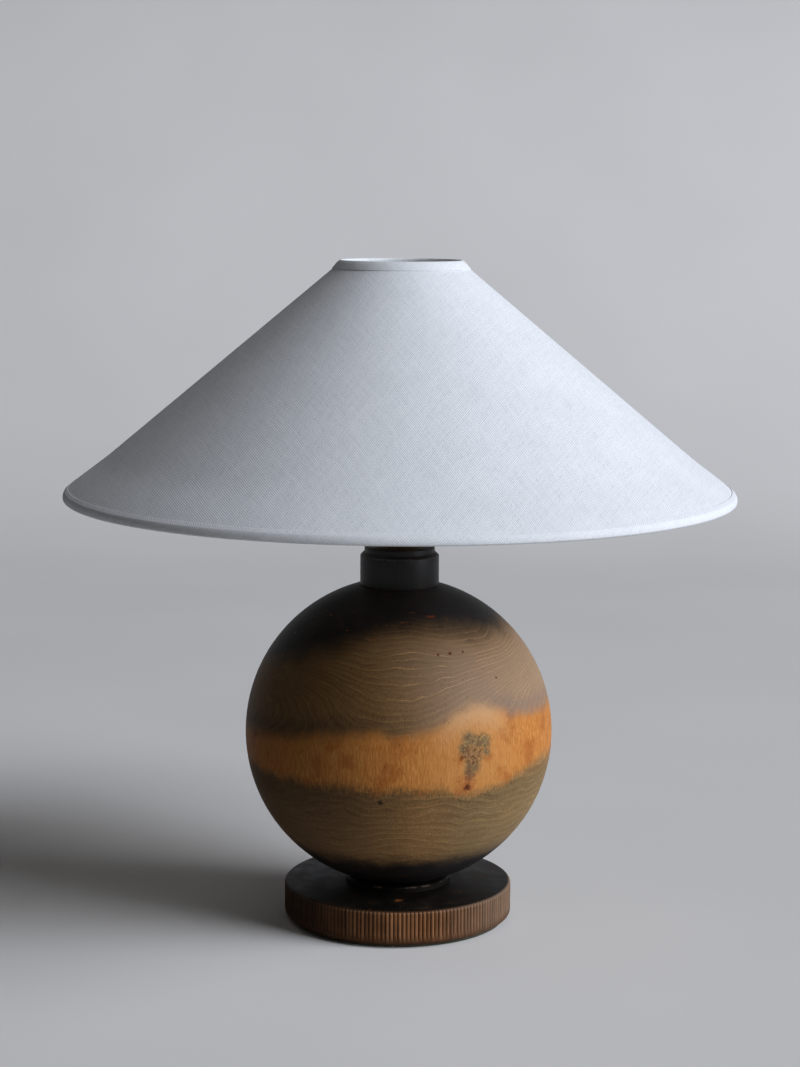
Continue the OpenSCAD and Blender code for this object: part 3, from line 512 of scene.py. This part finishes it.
def worn_base_wood():
    # Beech turned and reeded, stained dark. The eye sees a black top with a few chips, and brown reeds
    # rubbed bare on their crests over dark grooves.
    made, tree, shader = new_material("worn_reeded_beech", Roughness=0.5, IOR=1.45, Specular_IOR_Level=0.08)
    place = add(tree, "TexCoord", out="Object")
    point = add(tree, "Mapping", {"Vector": place, "Scale": (1 / MM,) * 3})
    x, y, z = add(tree, "SeparateXYZ", [point]).node.outputs
    level = add(tree, "CombineXYZ", [x, y, 0])
    radius = add(tree, "VectorMath", [level], "Value", operation="LENGTH")
    patch = add(tree, "TexNoise", {"Vector": point, "Scale": 1 / 11, "Detail": 4})
    along = add(tree, "Mapping", {"Vector": point, "Scale": (1 / 0.8, 1 / 0.8, 1 / 9)})
    fibre = add(tree, "TexNoise", {"Vector": along, "Scale": 1, "Detail": 4, "Roughness": 0.6})
    reed = add(tree, "Mapping", {"Vector": point, "Scale": (1 / 2.6, 1 / 2.6, 1 / 60)})
    reed_tone = add(tree, "TexNoise", {"Vector": reed, "Scale": 1, "Detail": 1})

    # Bare crests, dark grooves, a painted highlight on the upper edge, soot and painted shade to the left, a
    # painted sheen to the right and a darker foot
    crest = add(tree, "MapRange", [radius, 68.45, 69.0, 0, 1], **SOFT)
    bare = add(tree, "ValToRGB", [reed_tone], stops=[(0.3, "#583b24"), (0.5, "#734d30"), (0.7, "#896041")])
    mottled = add(tree, "MapRange", [patch, 0.35, 0.65, 0.72, 1.12])
    bare = add(tree, "Mix", {SHARE: 1.0, FROM: bare, TO: mottled}, **TINTED)
    edge = add(tree, "Mix", {SHARE: crest, FROM: "#48301e", TO: bare}, **BLENDED)
    # Painted highlight: the top ends of the crests are painted paler, where light catches the top bevel
    cap = add(tree, "MapRange", [z, 20.7, 21.5, 0, 0.3], **SOFT)
    cap = add(tree, "Math", [cap, crest], operation="MULTIPLY")
    edge = add(tree, "Mix", {SHARE: cap, FROM: edge, TO: "#977c66"}, **BLENDED)
    # Soot and painted shade: the side is darkened towards the left
    soot_and_shade_left = add(tree, "MapRange", [x, -60, -2, 0.88, 0], **SOFT)
    edge = add(tree, "Mix", {SHARE: soot_and_shade_left, FROM: edge, TO: "#1c120b"}, **BLENDED)
    # Painted sheen: the side is painted greyer towards the right
    sheen_greyed = add(tree, "MapRange", [x, 15, 66, 0, 0.55], **SOFT)
    edge = add(tree, "Mix", {SHARE: sheen_greyed, FROM: edge, TO: "#78695a"}, **BLENDED)
    foot = add(tree, "MapRange", [z, 9, 4, 0, 0.65], **SOFT)
    edge = add(tree, "Mix", {SHARE: foot, FROM: edge, TO: "#3a2415"}, **BLENDED)

    # The black top with a few orange chips, one of them at the front
    bare_chip = "#8a5128"
    chip_at = (0.6, -47, 22.5)
    soot = add(tree, "ValToRGB", [patch], stops=[(0.35, "#100e0c"), (0.6, "#1a1612"), (0.75, "#2f2218")])
    chip = add(tree, "TexNoise", {"Vector": point, "Scale": 1 / 5, "Detail": 4, "Roughness": 0.65})
    chips = add(tree, "MapRange", [chip, 0.69, 0.75, 0, 0.8], **SOFT)
    top = add(tree, "Mix", {SHARE: chips, FROM: soot, TO: bare_chip}, **BLENDED)
    away = add(tree, "VectorMath", [point, chip_at], "Value", operation="DISTANCE")
    away = add(tree, "Math", [chip, 9, away], operation="MULTIPLY_ADD")
    front_chip = add(tree, "MapRange", [away, 7.5, 5.5, 0, 0.8], **SOFT)
    top = add(tree, "Mix", {SHARE: front_chip, FROM: top, TO: bare_chip}, **BLENDED)
    inside = add(tree, "MapRange", [radius, 67.6, 68.2, 1, 0])
    raised = add(tree, "MapRange", [z, 21, 22.2, 0, 1])
    is_top = add(tree, "Math", [inside, raised], operation="MULTIPLY")
    tone = add(tree, "Mix", {SHARE: is_top, FROM: edge, TO: top}, **BLENDED)

    # The rim of the step, rubbed lighter and partly a painted highlight
    rim = add(tree, "MapRange", [radius, 31.0, 31.6, 0, 1])
    rim_out = add(tree, "MapRange", [radius, 32.3, 31.9, 0, 1])
    rim = add(tree, "Math", [rim, rim_out], operation="MULTIPLY")
    rim_up = add(tree, "MapRange", [z, 24.9, 25.4, 0, 0.85])
    rim_side = add(tree, "MapRange", [patch, 0.45, 0.6, 0, 1], **SOFT)
    rim = add(tree, "Math", [rim, rim_side], operation="MULTIPLY")
    rim = add(tree, "Math", [rim, rim_up], operation="MULTIPLY")
    tone = add(tree, "Mix", {SHARE: rim, FROM: tone, TO: "#6c5d52"}, **BLENDED)
    tree.links.new(tone, shader.inputs["Base Color"])
    gloss = add(tree, "MapRange", [patch, 0.3, 0.7, 0.42, 0.6])
    tree.links.new(gloss, shader.inputs["Roughness"])
    bump = add(tree, "Bump", {"Strength": 0.35, "Distance": 0.15 * MM, "Height": fibre})
    tree.links.new(bump, shader.inputs["Normal"])
    return made


# Materials of the shade


def woven_linen(name, pitch, turn, thread, gap):
    # Bleached linen in plain weave. The eye sees two families of matt threads that cross, thicker here
    # and thinner there, with small shadows between them. Threads are drawn coarser than the real 0.6 mm.
    made, tree, shader = new_material(name, Roughness=0.85, IOR=1.45, Sheen_Weight=0.12, Sheen_Roughness=0.5)
    # A wave of scale 1 repeats every tau / 20, and threads wander by up to 0.9 mm.
    wave_unit = math.tau / 20
    wander = 0.9 * MM
    flat = add(tree, "UVMap", uv_map=FLAT_MAP)
    drift = add(tree, "TexNoise", {"Vector": flat, "Scale": 1 / (11 * MM), "Detail": 2}, "Color", **FLAT)
    flat = add(tree, "VectorMath", [drift, (wander, wander, 0), flat], operation="MULTIPLY_ADD")

    # Each family of threads: thin and thick places, longer slubs, and the round of each thread
    heights = []
    for lean in (turn, -turn):
        turned = add(tree, "Mapping", {"Vector": flat, "Rotation": (0, 0, lean)})
        uneven = add(tree, "Mapping", {"Vector": turned, "Scale": (0.8 / pitch, 0.8 / (9 * pitch), 1)})
        fine = add(tree, "TexNoise", {"Vector": uneven, "Scale": 1, "Detail": 3, "Roughness": 0.6}, **FLAT)
        long = add(tree, "Mapping", {"Vector": turned, "Scale": (0.35 / pitch, 0.35 / (14 * pitch), 1)})
        slub = add(tree, "TexNoise", {"Vector": long, "Scale": 1, "Detail": 2, "Roughness": 0.6}, **FLAT)
        wave = add(tree, "TexWave", {"Vector": turned, "Scale": wave_unit / pitch}, "Fac")
        wave = add(tree, "MapRange", [wave, 0, 1, 0.1, 1])
        thin = add(tree, "MapRange", [fine, 0.3, 0.72, 0.4, 1.0])
        swollen = add(tree, "MapRange", [slub, 0.48, 0.75, 0, 0.4])
        thick = add(tree, "Math", [thin, swollen], operation="ADD")
        heights.append(add(tree, "Math", [wave, thick], operation="MULTIPLY"))

    # Both families together, with a fuzz of short fibres and slow clouds over them
    fuzz_w = 0.9 * MM
    crossed = add(tree, "Math", heights, operation="ADD")
    fuzz = add(tree, "TexNoise", {"Vector": flat, "Scale": 1 / fuzz_w, "Detail": 3, "Roughness": 0.6}, **FLAT)
    fuzz = add(tree, "MapRange", [fuzz, 0.25, 0.75, -0.35, 0.35])
    crossed = add(tree, "Math", [crossed, fuzz], operation="ADD")
    tone = add(tree, "ValToRGB", [crossed], stops=[(0.15, gap), (1, thread)])
    cloudy = add(tree, "TexNoise", {"Vector": flat, "Scale": 1 / (30 * MM), "Detail": 3}, **FLAT)
    cloud = add(tree, "MapRange", [cloudy, 0.3, 0.7, 0.965, 1.0])
    tone = add(tree, "Mix", {SHARE: 1.0, FROM: tone, TO: cloud}, **TINTED)
    tree.links.new(tone, shader.inputs["Base Color"])
    bump = add(tree, "Bump", {"Strength": 0.36, "Distance": 0.18 * MM, "Height": crossed})
    tree.links.new(bump, shader.inputs["Normal"])
    return made


def styrene_lining():
    # Sheet styrene laminated behind the linen. The eye sees smooth semi-matt white with a faint
    # orange-peel surface.
    made, tree, shader = new_material("styrene_lining", Roughness=0.42, IOR=1.55)
    place = add(tree, "TexCoord", out="Object")
    peel = add(tree, "TexNoise", {"Vector": place, "Scale": 1 / (1.4 * MM), "Detail": 2})
    cloudy = add(tree, "TexNoise", {"Vector": place, "Scale": 1 / (40 * MM), "Detail": 3})
    tone = add(tree, "ValToRGB", [cloudy], stops=[(0.3, "#e6e4de"), (0.7, "#f0eeea")])
    tree.links.new(tone, shader.inputs["Base Color"])
    gloss = add(tree, "MapRange", [cloudy, 0.3, 0.7, 0.38, 0.48])
    tree.links.new(gloss, shader.inputs["Roughness"])
    bump = add(tree, "Bump", {"Strength": 0.12, "Distance": 0.05 * MM, "Height": peel})
    tree.links.new(bump, shader.inputs["Normal"])
    return made


def pressed_felt():
    # Wool felt, pressed and glued under the base. The eye sees a dull green mat of short tangled fibres.
    made, tree, shader = new_material("wool_felt", Roughness=0.95, IOR=1.45, Sheen_Weight=0.3)
    place = add(tree, "TexCoord", out="Object")
    hair_w = 0.8 * MM
    tangle = add(
        tree, "TexNoise",
        {"Vector": place, "Scale": 1 / hair_w, "Detail": 5, "Roughness": 0.7, "Distortion": 1.5},
    )
    cloudy = add(tree, "TexNoise", {"Vector": place, "Scale": 1 / (12 * MM), "Detail": 3})
    tone = add(tree, "ValToRGB", [tangle], stops=[(0.3, "#232a20"), (0.55, "#38422f"), (0.75, "#505a43")])
    cloud = add(tree, "MapRange", [cloudy, 0.3, 0.7, 0.85, 1.1])
    tone = add(tree, "Mix", {SHARE: 1.0, FROM: tone, TO: cloud}, **TINTED)
    tree.links.new(tone, shader.inputs["Base Color"])
    bump = add(tree, "Bump", {"Strength": 0.6, "Distance": 0.3 * MM, "Height": tangle})
    tree.links.new(bump, shader.inputs["Normal"])
    return made


# Materials of the fittings


def plain_finish(name, dark, light, grain, rough, relief=0.05, stretch=(1, 1, 1), **values):
    """A fitting's finish: two close tones and an uneven gloss at one grain, in millimetres"""
    made, tree, shader = new_material(name, **values)
    place = add(tree, "TexCoord", out="Object")
    scaled = add(tree, "Mapping", {"Vector": place, "Scale": [s / (grain * MM) for s in stretch]})
    cloudy = add(tree, "TexNoise", {"Vector": scaled, "Scale": 1, "Detail": 4, "Roughness": 0.6})
    tone = add(tree, "ValToRGB", [cloudy], stops=[(0.3, dark), (0.7, light)])
    tree.links.new(tone, shader.inputs["Base Color"])
    gloss = add(tree, "MapRange", [cloudy, 0.3, 0.7, rough[0], rough[1]])
    tree.links.new(gloss, shader.inputs["Roughness"])
    bump = add(tree, "Bump", {"Strength": 0.3, "Distance": relief * MM, "Height": cloudy})
    tree.links.new(bump, shader.inputs["Normal"])
    return made


finishes = {
    "linen": woven_linen("bleached_linen", 1.08 * MM, math.radians(30), "#eff2f5", "#cbd0d5"),
    "tape": woven_linen("linen_tape", 1.1 * MM, math.radians(45), "#eff2f5", "#d2d6da"),
    # Lacquered brass, spun and pressed: warm yellow with fine rings and dulled patches
    "brass": plain_finish(
        "spun_brass", "#a8803c", "#cba45a", 6, (0.24, 0.4), stretch=(1, 1, 8), Metallic=1.0
    ),
    # Zinc-plated steel: cool grey with a cloudy plating
    "steel": plain_finish("zinc_plated_steel", "#8d9092", "#b4b7b8", 3, (0.3, 0.48), Metallic=1.0),
    # Glazed porcelain: a wet white gloss over a faintly uneven body
    "porcelain": plain_finish("glazed_porcelain", "#e4e0d6", "#efece4", 8, (0.1, 0.2), 0.1, IOR=1.54),
    # Bakelite, moulded and polished: near-black brown with a dull shine
    "bakelite": plain_finish("moulded_bakelite", "#17110e", "#2a1d17", 2, (0.28, 0.42), IOR=1.6),
    # Soft black rubber, moulded: matt and slightly dusty
    "inlet_rubber": plain_finish("moulded_rubber", "#161616", "#242322", 1.5, (0.65, 0.8), IOR=1.52),
    # Steel wire, powder-coated white: a fine orange peel
    "white_wire": plain_finish("powder_coated_wire", "#dedcd6", "#ebe9e4", 0.9, (0.4, 0.55), IOR=1.5),
    # Opal glass, blown: milky white under a smooth gloss
    "opal_glass": plain_finish("opal_glass", "#eae7e0", "#f4f2ec", 12, (0.12, 0.2), 0.02, IOR=1.52),
    # Clear lead glass, pressed: a thin grey body with sharp glints
    "clear_glass": plain_finish(
        "pressed_lead_glass", "#d8dcd8", "#e6eae6", 4, (0.03, 0.08), 0.02, IOR=1.56, Transmission_Weight=0.9
    ),
    # Black glass, fused in the cap: deep black and glossy
    "black_glass": plain_finish("fused_black_glass", "#0b0b0c", "#17161a", 3, (0.1, 0.2), IOR=1.55),
    # Nickel-plated brass, pressed into a thread: warm silver
    "bulb_metal": plain_finish("nickel_plated_cap", "#a9a69d", "#c6c3ba", 4, (0.22, 0.38), Metallic=1.0),
    # Tin solder, melted in a bead: dull grey with a skin
    "solder": plain_finish("tin_solder", "#85878a", "#a9abac", 1.5, (0.35, 0.55), 0.1, Metallic=1.0),
    # Phosphor coating on the filament: chalky yellow
    "phosphor": plain_finish("phosphor_coating", "#d6a93a", "#e6c161", 0.8, (0.7, 0.85), IOR=1.5),
    "turned_wood": scorched_globe_wood(),
    "base_wood": worn_base_wood(),
    "black_wood": ebonised_wood(),
    "shade_board": styrene_lining(),
    "felt": pressed_felt(),
}
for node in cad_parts.values():
    node.material_slots[0].material = finishes[node.material_slots[0].material.name]


# The collar: a turned cylinder with a bevel, a ledge and a smaller rounded ring


def turned_collar():
    low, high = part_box("collar")
    body_h = 17.7 * MM
    slope = 1.75 * MM
    ring_r = 21.2 * MM
    ring_h = 4 * MM
    ring_round = 1.3 * MM
    foot_round = 0.6 * MM
    shoulder_round = 0.35 * MM
    ledge_round = 0.25 * MM
    shoulder_z = low.z + body_h
    ledge_z = shoulder_z + slope
    collar = start(
        bpy.ops.mesh.primitive_cylinder_add, "collar_turned", vertices=TURNED_SIDES, radius=high.x,
        depth=body_h, location=(0, 0, low.z + body_h / 2),
    )
    bpy.ops.object.mode_set(mode="EDIT")
    pick(collar, "FACE", facing(1, shoulder_z))
    bpy.ops.mesh.inset(thickness=slope, depth=slope)
    bpy.ops.mesh.inset(thickness=high.x - slope - ring_r)
    bpy.ops.mesh.extrude_region_move(TRANSFORM_OT_translate={"value": (0, 0, ring_h)})
    pick(collar, "EDGE", ring_at(ring_r, ledge_z + ring_h))
    bpy.ops.mesh.bevel(offset=ring_round, segments=6, affect="EDGES")
    pick(collar, "EDGE", ring_at(high.x, low.z))
    bpy.ops.mesh.bevel(offset=foot_round, segments=3, affect="EDGES")
    pick(collar, "EDGE", ring_at(high.x, shoulder_z))
    bpy.ops.mesh.bevel(offset=shoulder_round, segments=3, affect="EDGES")
    pick(collar, "EDGE", ring_at(high.x - slope, ledge_z))
    bpy.ops.mesh.bevel(offset=ledge_round, segments=2, affect="EDGES")
    drill(collar, ledge_z + ring_h, low.z, ring_r - ring_round, high.x - foot_round)
    finish(collar, "black_wood", "lamp_body", "collar")


# The base: a turned disc with rounded reeds, a low step, the nut's recess and the cord's channel


def reeded_base():
    low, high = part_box("base_disc")
    core_r = high.x - REED_DEPTH
    foot_bevel = 2 * MM
    top_bevel = 0.8 * MM
    step_r = 32 * MM
    step_h = 3.3 * MM
    recess_r = 17 * MM
    recess_h = 12 * MM
    reed_low = low.z + foot_bevel
    top_z = high.z - step_h
    reed_high = top_z - top_bevel
    base = start(
        bpy.ops.mesh.primitive_cylinder_add, "base_reeded", vertices=REEDS * REED_SIDES, radius=core_r,
        depth=reed_high - reed_low, location=(0, 0, (reed_low + reed_high) / 2),
    )
    bpy.ops.object.mode_set(mode="EDIT")
    pick(base, "FACE", facing(1, reed_high))
    bpy.ops.mesh.inset(thickness=top_bevel, depth=top_bevel)
    bpy.ops.mesh.inset(thickness=core_r - top_bevel - step_r)
    bpy.ops.mesh.extrude_region_move(TRANSFORM_OT_translate={"value": (0, 0, step_h - top_bevel)})
    bpy.ops.mesh.inset(thickness=top_bevel, depth=top_bevel)
    pick(base, "FACE", facing(-1, reed_low))
    bpy.ops.mesh.inset(thickness=foot_bevel, depth=foot_bevel)
    bpy.ops.mesh.inset(thickness=core_r - foot_bevel - recess_r)
    bpy.ops.mesh.extrude_region_move(TRANSFORM_OT_translate={"value": (0, 0, recess_h)})
    drill(base, high.z, low.z + recess_h, step_r - top_bevel, recess_r)

    # Extra rows near both ends of the side, for the run-out of the reeds
    rows_mm = (0.5, 1.2, 2.2, 3.4, 4.6)
    for row in rows_mm:
        for height in (reed_low + row * MM, reed_high - row * MM):
            bpy.ops.mesh.select_all(action="SELECT")
            bpy.ops.mesh.bisect(plane_co=(0, 0, height), plane_no=(0, 0, 1))
    bpy.ops.object.mode_set(mode="OBJECT")

    # Push the side out into reeds that fade at the top, and whose grooves run out above the foot
    fade_start = -0.7 * MM
    fade_run = 2.2 * MM
    groove_start = 0.6 * MM
    groove_run = 3.6 * MM
    groove_power = 2.2
    for vertex in base.data.vertices:
        radius = math.hypot(vertex.co.x, vertex.co.y)
        if abs(radius - core_r) > NEAR_FACE:
            continue
        above_foot = vertex.co.z - reed_low
        inside = min(above_foot, reed_high - vertex.co.z)
        fade = within((inside - fade_start) / fade_run)
        groove = within((above_foot - groove_start) / groove_run)
        phase = (math.atan2(vertex.co.y, vertex.co.x) / math.tau * REEDS) % 1
        crest = 1 - groove * abs(2 * phase - 1) ** groove_power
        swell = REED_DEPTH * crest * math.sin(fade * math.pi / 2)
        vertex.co.x *= 1 + swell / radius
        vertex.co.y *= 1 + swell / radius

    # Cut the cord's channel and the seat of its bush
    inlet_z = 10 * MM
    channel_r = 4.3 * MM
    channel_start = recess_r - 4 * MM
    seat_r = 6.7 * MM
    seat_start = high.y - 1.5 * MM
    far = high.y + 5 * MM
    for name, radius, near in (("channel", channel_r, channel_start), ("seat", seat_r, seat_start)):
        cutter = start(
            bpy.ops.mesh.primitive_cylinder_add, name, vertices=BORE_SIDES, radius=radius, depth=far - near,
            location=(0, (near + far) / 2, inlet_z), rotation=(math.pi / 2, 0, 0),
        )
        cut = base.modifiers.new(name, "BOOLEAN")
        cut.object = cutter
        cut.operation = "DIFFERENCE"
        bpy.context.view_layer.objects.active = base
        bpy.ops.object.modifier_apply(modifier=name)
        bpy.data.objects.remove(cutter)
    finish(base, "base_wood", "lamp_body", "base_disc", angle=40)


# The felt under the base


def felt_pad():
    low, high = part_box("base_felt")
    edge_round = 0.5 * MM
    felt = start(
        bpy.ops.mesh.primitive_cylinder_add, "felt_pad", vertices=TURNED_SIDES, radius=high.x,
        depth=high.z - low.z, location=(0, 0, (low.z + high.z) / 2),
    )
    bpy.ops.object.mode_set(mode="EDIT")
    pick(felt, "EDGE", ring_at(high.x, low.z))
    bpy.ops.mesh.bevel(offset=edge_round, segments=3, affect="EDGES")
    finish(felt, "felt", "lamp_body", "base_felt")


# Sheets rolled round the lamp's axis: the linen cone, its lining and the two tapes


def on_cone(along, off):
    """Radius and height of a point along the cone's slope, and off it"""
    return TOP_WIRE + DOWN_SLOPE * along + OFF_SLOPE * off


def hem_rise(along):
    """How far the linen is lifted off the cone near its lower hem, where it runs over the wire"""
    return HEM_FLARE * eased(within(1 - (SHEET_END - along) / HEM_FLARE_RUN))


def seam_rise(angle, lap_angle):
    """How far a sheet is lifted near the seam at the back: 0 for not at all, 1 for a whole linen"""
    near = math.pi - (angle if lap_angle else abs(angle))
    return eased(within((2 * LAP_ANGLE - near) / LAP_ANGLE))


def roll(name, section, lifts, columns, lap_angle, cut):
    """Roll a flat cut round the axis, with its seam at the back; cut gives each point's place in the flat"""
    rows = len(section) - 1
    sheet = start(bpy.ops.mesh.primitive_grid_add, name, x_subdivisions=columns, y_subdivisions=rows, size=2)
    flat_map = sheet.data.uv_layers[0]
    flat_map.name = FLAT_MAP
    flat = {}
    for vertex in sheet.data.vertices:
        row = round((vertex.co.y + 1) / 2 * rows)
        angle = vertex.co.x * math.pi + (vertex.co.x + 1) / 2 * lap_angle
        spot = section[row] + OFF_SLOPE * lifts[row] * seam_rise(angle, lap_angle)
        vertex.co = (spot.x * math.sin(angle), -spot.x * math.cos(angle), spot.y)
        flat[vertex.index] = cut(row, angle)
    for loop in sheet.data.loops:
        flat_map.data[loop.index].uv = flat[loop.vertex_index]
    return sheet


def thicken(sheet, thickness):
    """Give a rolled sheet its thickness, the same on both sides"""
    bpy.context.view_layer.objects.active = sheet
    wall = sheet.modifiers.new("wall", "SOLIDIFY")
    wall.thickness = thickness
    wall.offset = 0
    bpy.ops.object.modifier_apply(modifier="wall")


def cone_sheet(name, node, slot, off, thickness, lift, flared):
    """One sheet of the cone, cut as a sector of a ring; lift is its rise at the seam"""
    places = [SHEET_START + (SHEET_END - SHEET_START) * i / SHEET_ROWS for i in range(SHEET_ROWS + 1)]
    sector = DOWN_SLOPE.x

    def cut(row, angle):
        slant = APEX_TO_TOP + places[row]
        return slant * math.sin(angle * sector), -slant * math.cos(angle * sector)

    section = [on_cone(s, off + (hem_rise(s) if flared else 0)) for s in places]
    sheet = roll(name, section, [lift] * len(section), SHEET_COLUMNS, LAP_ANGLE, cut)
    thicken(sheet, thickness)
    finish(sheet, slot, "shade", node)


def wire_tape(name, node, wire, wire_r, edge, inner, hang, inwards, columns, lifted):
    """A tape with its outer edge turned under, folded round a wire; inwards is 1 at the top, -1 below"""
    on_sheet = SHEET_GAP + LINEN_T + 0.52 * TAPE_T
    on_linen = on_sheet + lifted
    round_r = wire_r + 0.85 * TAPE_T
    slack_start = 0.15
    slack_run = 0.35
    catch_run = 0.2

    # The profile's rows, from the folded edge round the wire to the inner edge: how far along the slope,
    # how far off it, and their share of the hang
    profile = [(edge - 2.2 * TAPE_FOLD_R, on_linen, 0), (edge - TAPE_FOLD_R, on_linen, 0)]
    for i in range(1, TAPE_FOLD_STEPS + 1):
        bend = math.pi * (i / TAPE_FOLD_STEPS - 0.5)
        along = edge - TAPE_FOLD_R + TAPE_FOLD_R * math.cos(bend)
        off = on_linen + TAPE_FOLD_R + TAPE_FOLD_R * math.sin(bend)
        profile.append((along, off, 0))
    for i in range(TAPE_WIRE_STEPS + 1):
        share = i / TAPE_WIRE_STEPS
        bend = TAPE_LEAVES_WIRE + (math.tau - 2 * TAPE_LEAVES_WIRE) * share
        slack = within((share - slack_start) / slack_run) * within((1 - share) / catch_run)
        profile.append((round_r * math.cos(bend), round_r * math.sin(bend), slack))
    profile.append((0.4 * inner, -0.5 * (on_sheet + round_r), 0))
    profile.append((0.75 * inner, -1.1 * on_sheet, 0))
    profile.append((inner, -on_sheet, 0))
    section = [
        wire + DOWN_SLOPE * along * inwards + OFF_SLOPE * off + hang * slack
        for along, off, slack in profile
    ]
    lifts = [LINEN_T * within(along / round_r - 0.4) * (off > 0) for along, off, slack in profile]
    run = [0]
    for i in range(len(section) - 1):
        run.append(run[-1] + (section[i + 1] - section[i]).length)

    def cut(row, angle):
        return angle * wire.x, run[row]

    tape = roll(name, section, lifts, columns, 0, cut)
    thicken(tape, TAPE_T)
    finish(tape, "tape", "shade", node, angle=60)


turned_collar()
reeded_base()
felt_pad()
cone_sheet(
    "linen_cone", "shade_linen", "linen", off=SHEET_GAP + LINEN_T / 2, thickness=LINEN_T, lift=LINEN_T,
    flared=True,
)
cone_sheet(
    "lining_cone", "shade_lining", "shade_board", off=-SHEET_GAP - LINING_T / 2, thickness=LINING_T, lift=0,
    flared=False,
)
wire_tape(
    "top_tape", "top_binding", TOP_WIRE, TOP_WIRE_R, edge=4.6 * MM, inner=2.9 * MM,
    hang=Vector((0.2, 1.6)) * MM, inwards=1, columns=120, lifted=0,
)
wire_tape(
    "bottom_tape", "bottom_binding", BOTTOM_WIRE, BOTTOM_WIRE_R, edge=2.3 * MM, inner=6.7 * MM,
    hang=Vector((0.9, -1.5)) * MM, inwards=-1, columns=SHEET_COLUMNS, lifted=HEM_FLARE,
)


# Floor, light and background


def seen_rays(tree):
    """1 for the rays that show the background, 0 for those that only carry light from it"""
    rays = add(tree, "LightPath").node.outputs
    seen = add(tree, "Math", [rays["Is Camera Ray"], rays["Is Glossy Ray"]], operation="MAXIMUM")
    return add(tree, "Math", [seen, rays["Is Transmission Ray"]], operation="MAXIMUM")


def studio_floor():
    # Matt paper, pale to the eye; it throws back less light than it shows, and still less further away,
    # as in a large dim room
    made, tree, shader = new_material("pale_floor", Roughness=0.9, Specular_IOR_Level=0.0)
    place = add(tree, "TexCoord", out="Object")
    cloudy = add(tree, "TexNoise", {"Vector": place, "Scale": 2.0, "Detail": 3})
    tone = add(tree, "ValToRGB", [cloudy], stops=[(0.3, "#dddcda"), (0.7, "#e4e3e1")])
    away = add(tree, "VectorMath", [place], "Value", operation="LENGTH")
    far = add(tree, "MapRange", [away, 0.4, 1.2, 0, 1], **SOFT)
    thrown = add(tree, "Mix", {SHARE: far, FROM: "#d4d3d0", TO: "#8a8987"}, **BLENDED)
    tone = add(tree, "Mix", {SHARE: seen_rays(tree), FROM: thrown, TO: tone}, **BLENDED)
    tree.links.new(tone, shader.inputs["Base Color"])

    # A sheet that is swept up behind the lamp
    floor_size = 6
    floor_shift = -0.6
    behind = 2
    wall_h = 3.2
    sweep_r = 1.1
    floor = start(
        bpy.ops.mesh.primitive_plane_add, "studio_floor", size=floor_size, location=(0, floor_shift, 0)
    )
    bpy.ops.object.mode_set(mode="EDIT")
    pick(floor, "EDGE", lambda edge: all(v.co.y > behind for v in edge.verts))
    bpy.ops.mesh.extrude_region_move(TRANSFORM_OT_translate={"value": (0, 0, wall_h)})
    pick(floor, "EDGE", lambda edge: all(v.co.y > behind and v.co.z < NEAR_FACE for v in edge.verts))
    bpy.ops.mesh.bevel(offset=sweep_r, segments=24, affect="EDGES")
    bpy.ops.object.mode_set(mode="OBJECT")
    bpy.ops.object.shade_smooth()
    floor.data.materials.append(made)


def area_light(name, place, aim, width, height, power, colour):
    """A soft oblong light, turned towards a point"""
    lamp = bpy.data.lights.new(name, "AREA")
    lamp.shape = "RECTANGLE"
    lamp.size = width
    lamp.size_y = height
    lamp.energy = power
    lamp.color = srgb(colour)[:3]
    holder = bpy.data.objects.new(name, lamp)
    holder.location = place
    holder.rotation_euler = (Vector(aim) - Vector(place)).to_track_quat("-Z", "Y").to_euler()
    bpy.context.scene.collection.objects.link(holder)


studio_floor()
area_light(
    "window_side", place=(10.59, -4.17, 5.95), aim=(0, 0, 0.25), width=8.1, height=11.1, power=2322,
    colour="#f2f6ff",
)
area_light(
    "high_fill", place=(-0.95, -0.5, 2.5), aim=(0, 0, 0.3), width=1.2, height=1.2, power=1.5,
    colour="#fff2e6",
)

# The room: a dim grey that lights little, and shows brighter than it lights
ROOM_LIGHT = 0.03
ROOM_SEEN = 0.35
world = bpy.data.worlds.new("studio")
world.use_nodes = True
bpy.context.scene.world = world
sky = world.node_tree
level = add(sky, "MapRange", [seen_rays(sky), 0, 1, ROOM_LIGHT, ROOM_SEEN])
sky.links.new(level, sky.nodes["Background"].inputs["Strength"])
sky.nodes["Background"].inputs["Color"].default_value = srgb("#f2f3f5")
bpy.context.scene.view_settings.view_transform = "Standard"
